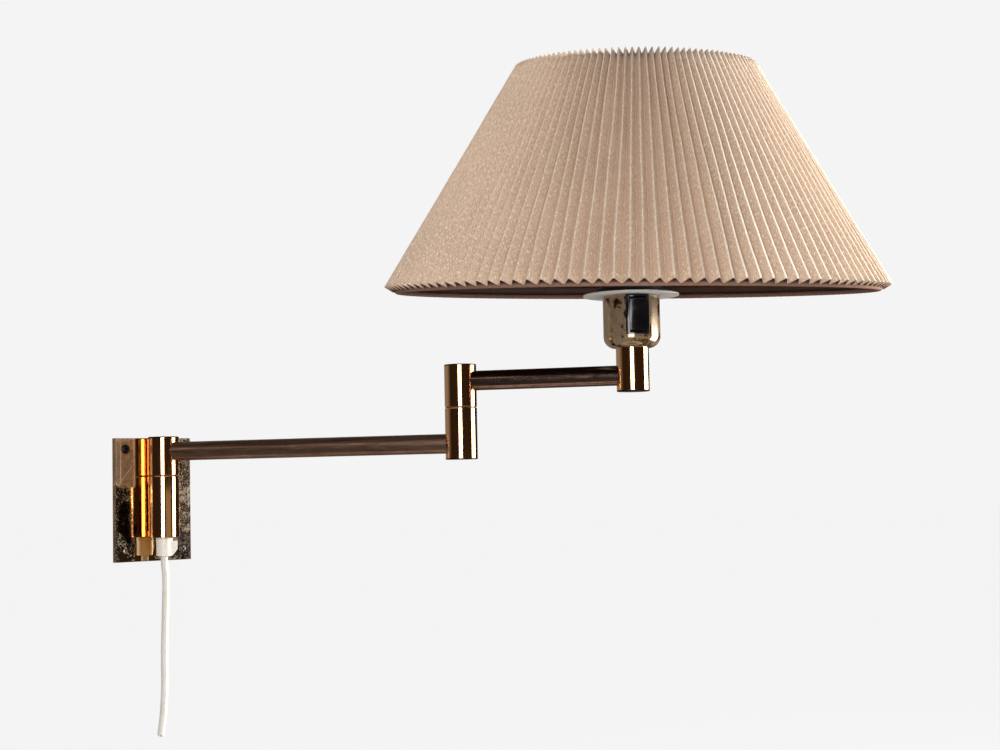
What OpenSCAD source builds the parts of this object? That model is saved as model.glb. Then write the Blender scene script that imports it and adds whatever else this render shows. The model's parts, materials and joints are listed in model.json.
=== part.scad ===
// Swing-arm wall light with a pleated cone shade, sizes in millimetres.
// The origin is the middle of the wall plate's back face. The wall is on the +Y side and +Z is up.

/* [Wall plate] */
// Width of the wall plate
plate_w = 74; // [66:1:90]
// Height of the wall plate
plate_h = 106; // [100:1:130]
// Thickness of the wall plate
plate_t = 6; // [5:0.5:8]
// Distance between the wall screw holes across the plate
hole_spacing_x = 56; // [50:1:58]
// Distance between the wall screw holes up the plate
hole_spacing_z = 87; // [80:1:90]
// Diameter of a wall screw hole
hole_d = 4.5; // [4:0.1:5.5]
// Bevel along the front edges of the wall plate
plate_bevel = 0.5; // [0.2:0.1:1]

/* [Barrels] */
// Outer diameter of every barrel
barrel_d = 26; // [25:0.5:30]
// Wall thickness of every barrel
barrel_wall = 2; // [1.5:0.1:2.5]
// Air gap between the wall plate and the barrel in front of it
barrel_gap = 3; // [2.5:0.5:6]
// Distance from the plate's middle down to the lower end of the wall barrel
barrel_drop = 32.5; // [30:0.5:36]
// Length of the fixed wall barrel
wall_barrel_h = 52.5; // [48:0.5:56]
// Length of the turning sleeve above the wall barrel
wall_sleeve_h = 33.2; // [32:0.2:40]
// Distance from the top of the wall sleeve down to the long arm's axis
long_arm_drop = 12.7; // [11.5:0.1:15]
// Distance from the elbow's lower end up to the long arm's axis
elbow_foot = 13; // [12:0.5:16]
// Length of the elbow's lower sleeve
elbow_lower_h = 41.8; // [40:0.2:50]
// Length of the elbow's upper sleeve
elbow_upper_h = 34.7; // [33:0.1:42]
// Distance from the elbow's top down to the short arm's axis
short_arm_drop = 13.5; // [12:0.5:16]
// Distance from the lower end of the holder barrel up to the short arm's axis
holder_foot = 13; // [12:0.5:16]
// Length of the holder barrel
holder_barrel_h = 34.3; // [33:0.1:42]
// Thickness of the lid that closes a barrel
lid_t = 1.2; // [0.8:0.1:2]
// Rounding of the barrel ends
end_round = 0.6; // [0.3:0.1:0.8]

/* [Pivots] */
// Outer diameter of a hollow pivot spindle
spindle_d = 10; // [9:0.5:11]
// Bore of a hollow pivot spindle
spindle_bore = 7; // [6:0.1:7.5]
// Thickness of the floor that a spindle passes through
web_t = 3; // [2.5:0.5:3.5]
// Thickness of the washer between two barrels
seam_washer_t = 0.5; // [0.3:0.1:0.8]
// Thickness of the spring washer under a pivot nut
spring_washer_t = 0.8; // [0.6:0.1:1]
// Height of a pivot nut
nut_h = 4; // [3:0.5:4.5]

/* [Arms] */
// Long arm, from the wall pivot to the elbow pivot
long_arm_l = 274; // [200:1:340]
// Short arm, from the elbow pivot to the holder barrel
short_arm_l = 142; // [110:1:200]
// Outer diameter of the arm tubes
tube_d = 16; // [14:0.5:17]
// Wall thickness of the arm tubes
tube_wall = 1.5; // [1:0.1:2]
// Direction of the long arm, 0 is straight out from the wall
long_arm_angle = 28.2; // [-80:0.1:80]
// Direction of the short arm, 0 is straight out from the wall
short_arm_angle = 32.8; // [-80:0.1:80]

/* [Lamp holder] */
// Outer diameter of the brass cup
cup_d = 45; // [44:0.5:50]
// Height of the brass cup
cup_h = 41.2; // [40:0.2:46]
// Sheet thickness of the brass cup
cup_wall = 0.8; // [0.6:0.1:1.2]
// Rounding between the cup's floor and its side
cup_shoulder = 9; // [6:0.5:9]
// Outer diameter of the threaded skirt that carries the shade rings
skirt_d = 39.6; // [39:0.1:40.2]
// Height of the skirt above the cup
skirt_h = 23; // [21:0.5:28]
// Clear diameter inside the screw shell for the lamp cap
socket_bore = 26.6; // [26.4:0.1:27]
// Length of the screw shell
socket_l = 22; // [18:0.5:22]
// Sheet thickness of the screw shell
shell_t = 0.4; // [0.3:0.1:0.6]
// Diameter of the white disc on the cup
disc_d = 76; // [64:1:90]
// Thickness of the white disc
disc_t = 1.5; // [1:0.1:2]
// Largest diameter of the lower shade ring
lower_ring_d = 57.6; // [54:0.2:62]
// Height of the lower shade ring
lower_ring_h = 9; // [8:0.5:10]
// Largest diameter of the upper shade ring
upper_ring_d = 52; // [50:0.5:54]
// Height of the upper shade ring
upper_ring_h = 6.5; // [5:0.5:7]
// Number of finger notches round a shade ring
ring_notches = 12; // [8:1:16]

/* [Switch] */
// Width of the switch housing
switch_w = 18.5; // [17:0.5:20]
// Height of the switch housing
switch_h = 31; // [30:0.5:32]
// Width of the rocker
rocker_w = 13; // [11:0.5:13.5]
// Height of the rocker
rocker_h = 25.6; // [24:0.2:26]
// Tilt of the rocker to either side of level
rocker_tilt = 6; // [4:0.5:7]
// Direction of the switch on the cup, counted from the short arm
switch_side = -66; // [-150:1:150]

/* [Shade] */
// Diameter of the shade over the folds at its lower edge
shade_bottom_d = 400; // [340:2:420]
// Diameter of the shade over the folds at its upper edge
shade_top_d = 192; // [170:2:220]
// Height of the shade along its axis
shade_h = 174; // [150:1:200]
// Number of folds round the shade
pleat_count = 120; // [96:1:120]
// Width of one face of a fold
fold_w = 10; // [8:0.1:12]
// Thickness of the folded sheet
sheet_t = 0.5; // [0.3:0.1:0.6]
// Height of the lower fold ends above the top of the cup
shade_lift = 8.3; // [7:0.1:14]
// Lean of the shade off upright
shade_lean = 4.6; // [0:0.1:6]
// Direction in which the shade leans, counted from the short arm
shade_lean_side = -64.5; // [-180:0.5:180]
// Distance that the shade hangs out of centre along the short arm
shade_offset = 4; // [0:0.5:5]
// Diameter of the wire hoops inside the shade
hoop_d = 3; // [2.8:0.1:3.4]
// Thickness of the tape bound round the hoops
tape_t = 0.5; // [0.3:0.1:0.7]
// Diameter of the three carrier legs
leg_d = 2.4; // [2:0.1:2.6]

/* [Cord and gland] */
// Diameter of the mains cord
cord_d = 6; // [5:0.1:6.4]
// Diameter of the inner lead
lead_d = 4; // [3:0.1:4.6]
// Diameter of the cord gland
gland_d = 13.6; // [12.5:0.1:16]
// Height of the cord gland
gland_h = 15.8; // [14:0.1:18]
// Reach of the clamp boss from the gland's axis
boss_reach = 11.2; // [10.5:0.1:13]
// Direction of the clamp boss, 0 is straight out from the wall
boss_angle = 58; // [-90:1:90]

/* [Hidden] */

$fn = 96;
far = 500;

// Fits: air round a pin that turns, round a piece that sits still, and past a face that is cut off
running_gap = 0.04;
seat_gap = 0.1;
over = 1;

// Barrels
barrel_r = barrel_d / 2;
barrel_in = barrel_r - barrel_wall;
barrel_y = -plate_t - barrel_gap - barrel_r;
plug_t = 4;
lid_spigot = 3;
seam_washer_r = barrel_r - end_round - 0.2;

// Pivots
spindle_r = spindle_d / 2;
spindle_head_r = spindle_r + 3;
spindle_head_t = 2.5;
spindle_top = seam_washer_t + web_t + spring_washer_t + nut_h + 0.5;
nut_r = spindle_r + 4;
spring_washer_r = spindle_r + 3.4;

// Heights from the wall up to the cup
wall_barrel_z = -barrel_drop;
wall_seam_z = wall_barrel_z + wall_barrel_h;
wall_sleeve_z = wall_seam_z + seam_washer_t;
wall_top_z = wall_sleeve_z + wall_sleeve_h;
long_arm_z = wall_top_z - long_arm_drop;
elbow_z = long_arm_z - elbow_foot;
elbow_seam_z = elbow_z + elbow_lower_h;
elbow_sleeve_z = elbow_seam_z + seam_washer_t;
elbow_top_z = elbow_sleeve_z + elbow_upper_h;
short_arm_z = elbow_top_z - short_arm_drop;
holder_z = short_arm_z - holder_foot;
cup_z = holder_z + holder_barrel_h;
cup_top_z = cup_z + cup_h;

// Saddle and the two screws that hold the wall barrel
saddle_w = 9;
saddle_inset = 5;
barrel_screw_z = [wall_barrel_z + 12, wall_seam_z - web_t - 8];
barrel_screw_r = 2;
barrel_screw_head_r = 3.8;
barrel_screw_l = plate_t + barrel_gap + barrel_wall + 1.5;

// Gland and cord
gland_r = gland_d / 2;
gland_neck_r = 5;
gland_neck_h = 5.5;
gland_collar_h = 3.6;
gland_bottom_z = wall_barrel_z - gland_h;
boss_w = 7;
boss_top = 3.2;
boss_flat = 7;
clamp_screw_r = 1.6;
sheath_end_z = wall_barrel_z + plug_t + 6;
lead_bend = 8.8;
wire_hole_r = lead_d / 2 + 1.2;
// Route of the cord below the gland, from the gland's mouth
cord_route = [
    [0, 0, 0], [0, 0, -5], [0.5, 0, -11], [1.2, 0, -21], [1, 0, -32], [0.5, 0, -45],
    [0, 0, -60], [-0.5, 0, -75], [-0.8, 0, -92], [-0.8, 0, -110], [-1.6, 0, -125],
    [-3, 0, -139], [-5, 0, -152]
];
cord_sides = 12;

// Lamp holder
cup_r = cup_d / 2;
cup_in = cup_r - cup_wall;
nipple_r = 5;
nipple_bore_r = 3.5;
nipple_nut_h = 4;
base_z = cup_z + cup_shoulder + 0.4;
base_r = cup_in - seat_gap;
nipple_top_z = base_z + 4;
cavity_r = 8;
cavity_h = 15;
skirt_r = skirt_d / 2;
holder_top_z = cup_top_z + skirt_h;
shell_r = socket_bore / 2;
shell_z = holder_top_z - 0.2 - socket_l;
contact_r = 4;
contact_t = 0.8;
disc_top_z = cup_top_z + disc_t;
ring_bore_r = skirt_r + seat_gap;
ring_neck_r = skirt_r + 2.7;
ring_edge = 0.9;
notch_r = 1.2;
carrier_z = disc_top_z + lower_ring_h;
carrier_t = 2;
carrier_r = upper_ring_d / 2 + leg_d + 2;

// Switch, measured outward and upward from the cup's axis
switch_face = cup_r + 0.3;
switch_back = 12;
switch_z = cup_top_z - 0.4 - switch_h / 2;
switch_wall = 1.7;
rocker_pivot = 18.6;
rocker_pin_r = 1.5;
rocker_pin_l = 1.6;
rocker_gap = 0.2;
recess_back = 15.2;

// Shade in its own frame, whose axis leans and starts at the level of the cup's top
shade_r0 = shade_bottom_d / 2;
shade_r1 = shade_top_d / 2;
slope = atan((shade_r0 - shade_r1) / shade_h);
outward = [cos(slope), sin(slope)];
upward = [-sin(slope), cos(slope)];
hoop_r = hoop_d / 2;
bound_r = hoop_r + tape_t;
leg_count = 3;
leg_turn = 38;
weld_gap = 0.02;
leg_foot_r = carrier_r - leg_d / 2 - 1;

// Depth of the folds where the shade has the outer radius r
function fold_depth(r) = sqrt(pow(fold_w, 2) - pow(PI * r / pleat_count, 2));
// Thickness of the sheet measured along the depth of the folds
function skin_depth(r) = sheet_t * fold_w * pleat_count / (PI * r);
// Outer and inner points of a fold's ridge and valley, in radius and height
function ridge(r, z, inner) = [r, z] - outward * (inner ? skin_depth(r) : 0);
function valley(r, z, inner) = [r, z] - outward * (fold_depth(r) + (inner ? skin_depth(r) : 0));
// Centre of a bound hoop that lies inside the valleys, one hoop radius from the sheet's end
hoop_in = bound_r + 0.15;
lower_hoop_at = valley(shade_r0, shade_lift, true) + (upward - outward) * hoop_in;
upper_hoop_at = valley(shade_r1, shade_lift + shade_h, true) - (upward + outward) * hoop_in;

function turned(p, a) = [p.x * cos(a) - p.y * sin(a), p.x * sin(a) + p.y * cos(a), p.z];
function tipped(p, a) = [p.x * cos(a) + p.z * sin(a), p.y, p.z * cos(a) - p.x * sin(a)];
// A point of the leaning shade, seen from the upright lamp holder
function from_shade(p) =
    turned(tipped(turned(p, -shade_lean_side), shade_lean), shade_lean_side)
    + [shade_offset, 0, cup_top_z];

// Places on the assembly: each arm's frame has +X along the arm
module on_long_arm() {
    translate([0, barrel_y, 0]) rotate([0, 0, long_arm_angle - 90]) children();
}

module on_short_arm() {
    on_long_arm()
        translate([long_arm_l, 0, 0])
            rotate([0, 0, short_arm_angle - long_arm_angle])
                children();
}

module at_holder() {
    on_short_arm() translate([short_arm_l, 0, 0]) children();
}

module at_switch() {
    at_holder() rotate([0, 0, switch_side]) translate([0, 0, switch_z]) children();
}

module on_shade() {
    at_holder()
        translate([shade_offset, 0, cup_top_z])
            rotate([0, 0, shade_lean_side])
                rotate([0, shade_lean, 0])
                    rotate([0, 0, -shade_lean_side])
                        children();
}

// Shared shapes
module collar(r_out, r_in, z0, z1) {
    rotate_extrude()
        polygon([[r_in, z0], [r_out, z0], [r_out, z1], [r_in, z1]]);
}

module hex_nut(r, bore_r, z, h) {
    difference() {
        translate([0, 0, z]) cylinder(h = h, r = r, $fn = 6);
        translate([0, 0, z - over]) cylinder(h = h + 2 * over, r = bore_r);
    }
}

module rod(from, to, r) {
    along = to - from;
    translate(from)
        rotate([0, acos(along.z / norm(along)), atan2(along.y, along.x)])
            cylinder(h = norm(along), r = r, $fn = 32);
}

// Quarter turn outline of radius e, starting at angle a
function corner(r, z, e, a) = [for (i = [0:4]) [r + e * cos(a + i * 22.5), z + e * sin(a + i * 22.5)]];

module round_bar(r, z0, z1, round_low, round_high) {
    low = round_low ? corner(r - end_round, z0 + end_round, end_round, -90) : [[r, z0]];
    high = round_high ? corner(r - end_round, z1 - end_round, end_round, 0) : [[r, z1]];
    rotate_extrude() polygon(concat([[0, z0]], low, high, [[0, z1]]));
}

// Barrel with one floor, bored for a spindle, and open at the other end
module barrel(z0, z1, web_z, bore_r, round_low, round_high) {
    hollow_z = web_z > z0 ? z0 - over : web_z + web_t;
    hollow_top = web_z > z0 ? web_z : z1 + over;
    difference() {
        round_bar(barrel_r, z0, z1, round_low, round_high);
        translate([0, 0, hollow_z]) cylinder(h = hollow_top - hollow_z, r = barrel_in);
        translate([0, 0, z0 - over]) cylinder(h = z1 - z0 + 2 * over, r = bore_r);
    }
}

module wire_hole(z) {
    translate([0, 0, z]) rotate([0, 90, 0]) cylinder(h = barrel_d, r = wire_hole_r);
}

// Lid with a spigot that is pressed into a barrel. up is 1 for a top lid, -1 for a bottom lid
module lid(z, up) {
    translate([0, 0, z])
        mirror([0, 0, up > 0 ? 0 : 1]) {
            round_bar(barrel_r, -lid_t, 0, false, true);
            translate([0, 0, -lid_t - lid_spigot])
                cylinder(h = lid_spigot, r = barrel_in - seat_gap / 2);
        }
}

// Hollow spindle with a round head below the lower floor
module spindle(seam_z) {
    difference() {
        union() {
            translate([0, 0, seam_z - web_t])
                cylinder(h = web_t + spindle_top, r = spindle_r);
            translate([0, 0, seam_z - web_t - spindle_head_t])
                cylinder(h = spindle_head_t, r = spindle_head_r);
        }
        translate([0, 0, seam_z - web_t - spindle_head_t - over])
            cylinder(h = web_t + spindle_head_t + spindle_top + 2 * over, r = spindle_bore / 2);
    }
}

module seam_washer(seam_z) {
    collar(seam_washer_r, spindle_r + seat_gap, seam_z, seam_z + seam_washer_t);
}

module spring_washer(seam_z) {
    z = seam_z + seam_washer_t + web_t;
    collar(spring_washer_r, spindle_r + seat_gap, z, z + spring_washer_t);
}

module pivot_nut(seam_z) {
    z = seam_z + seam_washer_t + web_t + spring_washer_t;
    hex_nut(nut_r, spindle_r + 0.01, z, nut_h);
}

// Arm tube between two barrels, its ends coped to their round sides
module arm_tube(length, z) {
    difference() {
        translate([0, 0, z]) rotate([0, 90, 0]) cylinder(h = length, r = tube_d / 2);
        translate([-over, 0, z]) rotate([0, 90, 0])
            cylinder(h = length + 2 * over, r = tube_d / 2 - tube_wall);
        for (x = [0, length])
            translate([x, 0, z - barrel_d]) cylinder(h = 2 * barrel_d, r = barrel_r);
    }
}

// Inner lead: up the first pivot, along the arm and up the second barrel
module lead(length, z_in, z_arm, z_out) {
    r = lead_d / 2;
    translate([0, 0, z_in]) cylinder(h = z_arm - lead_bend - z_in, r = r);
    translate([lead_bend, 0, z_arm - lead_bend])
        rotate([90, 0, 0]) rotate([0, 0, 90])
            rotate_extrude(angle = 90) translate([lead_bend, 0]) circle(r = r);
    translate([lead_bend, 0, z_arm]) rotate([0, 90, 0]) cylinder(h = length - 2 * lead_bend, r = r);
    translate([length - lead_bend, 0, z_arm + lead_bend])
        rotate([90, 0, 0]) rotate([0, 0, -90])
            rotate_extrude(angle = 90) translate([lead_bend, 0]) circle(r = r);
    translate([length, 0, z_arm + lead_bend]) cylinder(h = z_out - z_arm - lead_bend, r = r);
}

// Wall plate and what is fixed to it
module wall_plate() {
    color([0.45, 0.36, 0.22])
        difference() {
            intersection() {
                rotate([90, 0, 0])
                    linear_extrude(plate_t) square([plate_w, plate_h], center = true);
                translate([0, 0, -plate_h])
                    linear_extrude(2 * plate_h) plate_outline(plate_w / 2);
                rotate([0, -90, 0])
                    translate([0, 0, -plate_w])
                        linear_extrude(2 * plate_w) plate_outline(plate_h / 2);
            }
            for (x = [-1, 1], z = [-1, 1])
                translate([x * hole_spacing_x / 2, over, z * hole_spacing_z / 2])
                    rotate([90, 0, 0]) cylinder(h = plate_t + 2 * over, r = hole_d / 2);
            barrel_screw_holes();
        }
}

// Section of the plate with its front edges bevelled
module plate_outline(half) {
    polygon([
        [-half, 0], [-half, plate_bevel - plate_t], [plate_bevel - half, -plate_t],
        [half - plate_bevel, -plate_t], [half, plate_bevel - plate_t], [half, 0]
    ]);
}

module barrel_screw_holes() {
    for (z = barrel_screw_z)
        translate([0, 0, z]) rotate([90, 0, 0]) {
            translate([0, 0, -over]) cylinder(h = far, r = barrel_screw_r + seat_gap);
            translate([0, 0, -over]) cylinder(h = over + 2.4, r = barrel_screw_head_r + seat_gap);
        }
}

module barrel_saddle() {
    color([0.45, 0.36, 0.22])
        difference() {
            translate([-saddle_w / 2, barrel_y, wall_barrel_z + saddle_inset])
                cube([saddle_w, -plate_t - barrel_y, wall_barrel_h - 2 * saddle_inset]);
            translate([0, barrel_y, wall_barrel_z - over])
                cylinder(h = wall_barrel_h + 2 * over, r = barrel_r);
            barrel_screw_holes();
        }
}

module barrel_screws() {
    color([0.6, 0.6, 0.6])
        for (z = barrel_screw_z)
            translate([0, 0, z]) rotate([90, 0, 0]) {
                translate([0, 0, 0.2]) cylinder(h = 2.2, r = barrel_screw_head_r);
                translate([0, 0, 2.4]) cylinder(h = barrel_screw_l - 2.4, r = barrel_screw_r);
            }
}

module wall_barrel() {
    color([0.72, 0.5, 0.22])
        difference() {
            translate([0, barrel_y, 0])
                barrel(wall_barrel_z, wall_seam_z, wall_seam_z - web_t, spindle_r + 0.01, true, true);
            intersection() {
                barrel_screw_holes();
                translate([-barrel_r, barrel_y, wall_barrel_z]) cube([barrel_d, barrel_d, wall_barrel_h]);
            }
        }
}

module barrel_plug() {
    color([0.6, 0.42, 0.2])
        translate([0, barrel_y, 0])
            collar(barrel_in - seat_gap / 2, gland_neck_r + seat_gap, wall_barrel_z + 0.5,
                wall_barrel_z + plug_t);
}

module gland_body() {
    bore_r = cord_d / 2 + seat_gap;
    color("white")
        translate([0, barrel_y, 0]) {
            difference() {
                union() {
                    translate([0, 0, gland_bottom_z]) cylinder(h = gland_h, r = gland_r);
                    translate([0, 0, wall_barrel_z - gland_collar_h])
                        cylinder(h = gland_collar_h - 0.4, r = gland_r + 0.3);
                    translate([0, 0, wall_barrel_z - over])
                        cylinder(h = gland_neck_h + over, r = gland_neck_r);
                    rotate([0, 0, boss_angle - 90])
                        translate([0, boss_w / 2, wall_barrel_z])
                            rotate([90, 0, 0])
                                linear_extrude(boss_w) boss_outline();
                }
                translate([0, 0, gland_bottom_z - over])
                    cylinder(h = gland_h + gland_neck_h + 2 * over, r = bore_r);
                rotate([0, 0, boss_angle - 90])
                    translate([0, 0, clamp_screw_z()])
                        rotate([0, 90, 0])
                            cylinder(h = boss_reach + over, r = clamp_screw_r + seat_gap);
            }
        }
}

// Side of the clamp boss: upright face, then a slope back to the foot of the gland
module boss_outline() {
    polygon([
        [0, -boss_top], [boss_reach, -boss_top], [boss_reach, -boss_top - boss_flat],
        [gland_r, -gland_h], [0, -gland_h]
    ]);
}

function clamp_screw_z() = wall_barrel_z - boss_top - boss_flat / 2;

module gland_clamp_screw() {
    length = boss_reach - cord_d / 2 - 0.6;
    color([0.75, 0.75, 0.75])
        translate([0, barrel_y, clamp_screw_z()])
            rotate([0, 0, boss_angle - 90])
                translate([cord_d / 2 + seat_gap, 0, 0])
                    rotate([0, 90, 0])
                        difference() {
                            cylinder(h = length, r = clamp_screw_r);
                            translate([-clamp_screw_r, -0.3, length - 0.8])
                                cube([2 * clamp_screw_r, 0.6, over + 0.8]);
                        }
}

// Round tube through the points of a route, level at its first point
function route_way(p, i) =
    i == 0 ? [0, 0, -1]
    : let (n = len(p) - 1, d = p[min(i + 1, n)] - p[i - 1]) d / norm(d);

function route_ring(p, i, r) =
    let (t = route_way(p, i), side = cross(t, [0, 1, 0]), u = side / norm(side), v = cross(t, u))
    [for (k = [0:cord_sides - 1])
        p[i] + r * (u * cos(k * 360 / cord_sides) + v * sin(k * 360 / cord_sides))];

module route_tube(p, r) {
    n = cord_sides;
    last = len(p) - 1;
    points = [for (i = [0:last]) each route_ring(p, i, r)];
    sides = [for (i = [0:last - 1], k = [0:n - 1])
        let (a = i * n + k, b = i * n + (k + 1) % n)
        each [[a, a + n, b], [b, a + n, b + n]]];
    start = [for (k = [1:n - 2]) [0, k, k + 1]];
    finish = [for (k = [1:n - 2]) [last * n, last * n + k + 1, last * n + k]];
    polyhedron(points, concat(sides, start, finish), convexity = 4);
}

module mains_cord() {
    color("white")
        translate([0, barrel_y, gland_bottom_z]) route_tube(cord_route, cord_d / 2);
}

// Sheathed cord through the gland, then the thinner lead up to the wall pivot
module lead_wall() {
    color([0.9, 0.9, 0.88])
        translate([0, barrel_y, 0]) {
            translate([0, 0, gland_bottom_z])
                cylinder(h = sheath_end_z - gland_bottom_z, r = cord_d / 2);
            translate([0, 0, sheath_end_z])
                cylinder(h = wall_seam_z - sheath_end_z, r = lead_d / 2);
        }
}

module wall_spindle() {
    color([0.7, 0.7, 0.7]) translate([0, barrel_y, 0]) spindle(wall_seam_z);
}

module wall_seam_washer() {
    color([0.2, 0.15, 0.1]) translate([0, barrel_y, 0]) seam_washer(wall_seam_z);
}

module wall_spring_washer() {
    color([0.6, 0.6, 0.6]) translate([0, barrel_y, 0]) spring_washer(wall_seam_z);
}

module wall_pivot_nut() {
    color([0.7, 0.7, 0.7]) translate([0, barrel_y, 0]) pivot_nut(wall_seam_z);
}

// Long arm, which turns on the wall barrel
module wall_sleeve() {
    color([0.72, 0.5, 0.22])
        on_long_arm()
            difference() {
                barrel(wall_sleeve_z, wall_top_z - lid_t, wall_sleeve_z, spindle_r + running_gap,
                    true, false);
                wire_hole(long_arm_z);
            }
}

module wall_sleeve_lid() {
    color([0.5, 0.34, 0.16]) on_long_arm() lid(wall_top_z, 1);
}

module long_arm_tube() {
    color([0.42, 0.3, 0.24]) on_long_arm() arm_tube(long_arm_l, long_arm_z);
}

module lead_long_arm() {
    color([0.9, 0.9, 0.88])
        on_long_arm() lead(long_arm_l, wall_seam_z, long_arm_z, elbow_seam_z);
}

module elbow_lower_sleeve() {
    color([0.72, 0.5, 0.22])
        on_long_arm()
            translate([long_arm_l, 0, 0])
                difference() {
                    barrel(elbow_z + lid_t, elbow_seam_z, elbow_seam_z - web_t, spindle_r + 0.01,
                        false, true);
                    rotate([0, 0, 180]) wire_hole(long_arm_z);
                }
}

module elbow_lower_lid() {
    color([0.5, 0.34, 0.16]) on_long_arm() translate([long_arm_l, 0, 0]) lid(elbow_z, -1);
}

module elbow_spindle() {
    color([0.7, 0.7, 0.7]) on_long_arm() translate([long_arm_l, 0, 0]) spindle(elbow_seam_z);
}

module elbow_seam_washer() {
    color([0.2, 0.15, 0.1]) on_long_arm() translate([long_arm_l, 0, 0]) seam_washer(elbow_seam_z);
}

module elbow_spring_washer() {
    color([0.6, 0.6, 0.6]) on_long_arm() translate([long_arm_l, 0, 0]) spring_washer(elbow_seam_z);
}

module elbow_pivot_nut() {
    color([0.7, 0.7, 0.7]) on_long_arm() translate([long_arm_l, 0, 0]) pivot_nut(elbow_seam_z);
}

// Short arm, which turns on the elbow and carries the lamp holder and shade
module elbow_upper_sleeve() {
    color([0.72, 0.5, 0.22])
        on_short_arm()
            difference() {
                barrel(elbow_sleeve_z, elbow_top_z - lid_t, elbow_sleeve_z, spindle_r + running_gap,
                    true, false);
                wire_hole(short_arm_z);
            }
}

module elbow_upper_lid() {
    color([0.5, 0.34, 0.16]) on_short_arm() lid(elbow_top_z, 1);
}

module short_arm_tube() {
    color([0.42, 0.3, 0.24]) on_short_arm() arm_tube(short_arm_l, short_arm_z);
}

module lead_short_arm() {
    color([0.9, 0.9, 0.88])
        on_short_arm() lead(short_arm_l, elbow_seam_z, short_arm_z, nipple_top_z + 1);
}

module holder_barrel() {
    color([0.72, 0.5, 0.22])
        at_holder()
            difference() {
                barrel(holder_z + lid_t, cup_z, cup_z - web_t, nipple_r + seat_gap, false, false);
                rotate([0, 0, 180]) wire_hole(short_arm_z);
            }
}

module holder_barrel_lid() {
    color([0.5, 0.34, 0.16]) at_holder() lid(holder_z, -1);
}

module holder_nipple() {
    z0 = cup_z - web_t - nipple_nut_h - 0.5;
    color([0.7, 0.7, 0.7]) at_holder() collar(nipple_r, nipple_bore_r, z0, nipple_top_z);
}

// One nut under the barrel's floor and one on the floor of the cup
module nipple_nuts() {
    color([0.65, 0.65, 0.65])
        at_holder() {
            hex_nut(nipple_r + 3, nipple_r + 0.01, cup_z - web_t - nipple_nut_h, nipple_nut_h);
            hex_nut(nipple_r + 3, nipple_r + 0.01, cup_z + cup_wall, nipple_nut_h);
        }
}

// Spun cup with a rounded shoulder and an open slot for the switch
module socket_cup() {
    inner = cup_shoulder - cup_wall;
    outline = concat(
        [[nipple_r + seat_gap, cup_z]],
        [for (a = [-90:10:0]) [cup_r - cup_shoulder + cup_shoulder * cos(a),
            cup_z + cup_shoulder + cup_shoulder * sin(a)]],
        [[cup_r, cup_top_z], [cup_in, cup_top_z]],
        [for (a = [0:-10:-90]) [cup_r - cup_shoulder + inner * cos(a),
            cup_z + cup_shoulder + inner * sin(a)]],
        [[nipple_r + seat_gap, cup_z + cup_wall]]
    );
    color([0.75, 0.6, 0.32])
        difference() {
            at_holder() rotate_extrude() polygon(outline);
            at_switch()
                translate([switch_back, -switch_w / 2 - seat_gap, -switch_h / 2 - seat_gap])
                    cube([cup_r, switch_w + 2 * seat_gap, switch_h + 2]);
        }
}

// Moulded holder: base in the cup, threaded skirt above it and the bore for the screw shell
module holder_insulator() {
    color([0.08, 0.08, 0.08])
        difference() {
            at_holder()
                rotate_extrude()
                    polygon([
                        [nipple_r + seat_gap, base_z], [base_r, base_z], [base_r, cup_top_z],
                        [skirt_r, cup_top_z], [skirt_r, holder_top_z - 0.5],
                        [skirt_r - 0.5, holder_top_z], [shell_r + shell_t + seat_gap, holder_top_z],
                        [shell_r + shell_t + seat_gap, shell_z - 0.1], [11, shell_z - 0.1],
                        [11, shell_z - 1.2], [1.6, shell_z - 1.2],
                        [1.6, nipple_top_z + cavity_h], [cavity_r, nipple_top_z + cavity_h],
                        [cavity_r, nipple_top_z], [nipple_r + seat_gap, nipple_top_z]
                    ]);
            at_switch()
                translate([switch_back - seat_gap, -switch_w / 2 - seat_gap, -switch_h / 2 - seat_gap])
                    cube([cup_r, switch_w + 2 * seat_gap, switch_h + 0.4]);
        }
}

module screw_shell() {
    color([0.8, 0.65, 0.35])
        at_holder() collar(shell_r + shell_t, shell_r, shell_z, shell_z + socket_l);
}

module centre_contact() {
    color([0.8, 0.6, 0.4])
        at_holder() {
            translate([0, 0, shell_z - 1.1]) cylinder(h = contact_t, r = contact_r);
            translate([0, 0, nipple_top_z + cavity_h - 2])
                cylinder(h = shell_z - 1.1 - nipple_top_z - cavity_h + 2, r = 1.5);
        }
}

// Two brass blocks with a screw each, where the lead's cores end
module terminal_blocks() {
    block = [4, 4.5, 8];
    color([0.8, 0.65, 0.35])
        at_holder()
            for (side = [-1, 1])
                translate([0, side * 5, nipple_top_z + 5]) {
                    translate([-block.x / 2, -block.y / 2, 0]) cube(block);
                    translate([block.x / 2, 0, 5.5]) rotate([0, 90, 0]) cylinder(h = 1.5, r = 1.5);
                }
}

// Black housing that fills the slot of the cup, with a recess for the rocker
module switch_housing() {
    color([0.03, 0.03, 0.04])
        at_switch()
            difference() {
                intersection() {
                    translate([switch_back, -switch_w / 2, -switch_h / 2])
                        cube([cup_r, switch_w, switch_h]);
                    translate([0, 0, -switch_h]) cylinder(h = 2 * switch_h, r = switch_face);
                }
                translate([recess_back, -rocker_w / 2 - rocker_gap, switch_wall - switch_h / 2])
                    cube([cup_r, rocker_w + 2 * rocker_gap, switch_h - 2 * switch_wall]);
                translate([rocker_pivot, -rocker_w / 2 - rocker_pin_l - 0.4, 0])
                    rotate([-90, 0, 0])
                        cylinder(h = rocker_w + 2 * rocker_pin_l + 0.8, r = rocker_pin_r + running_gap);
            }
}

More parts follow.
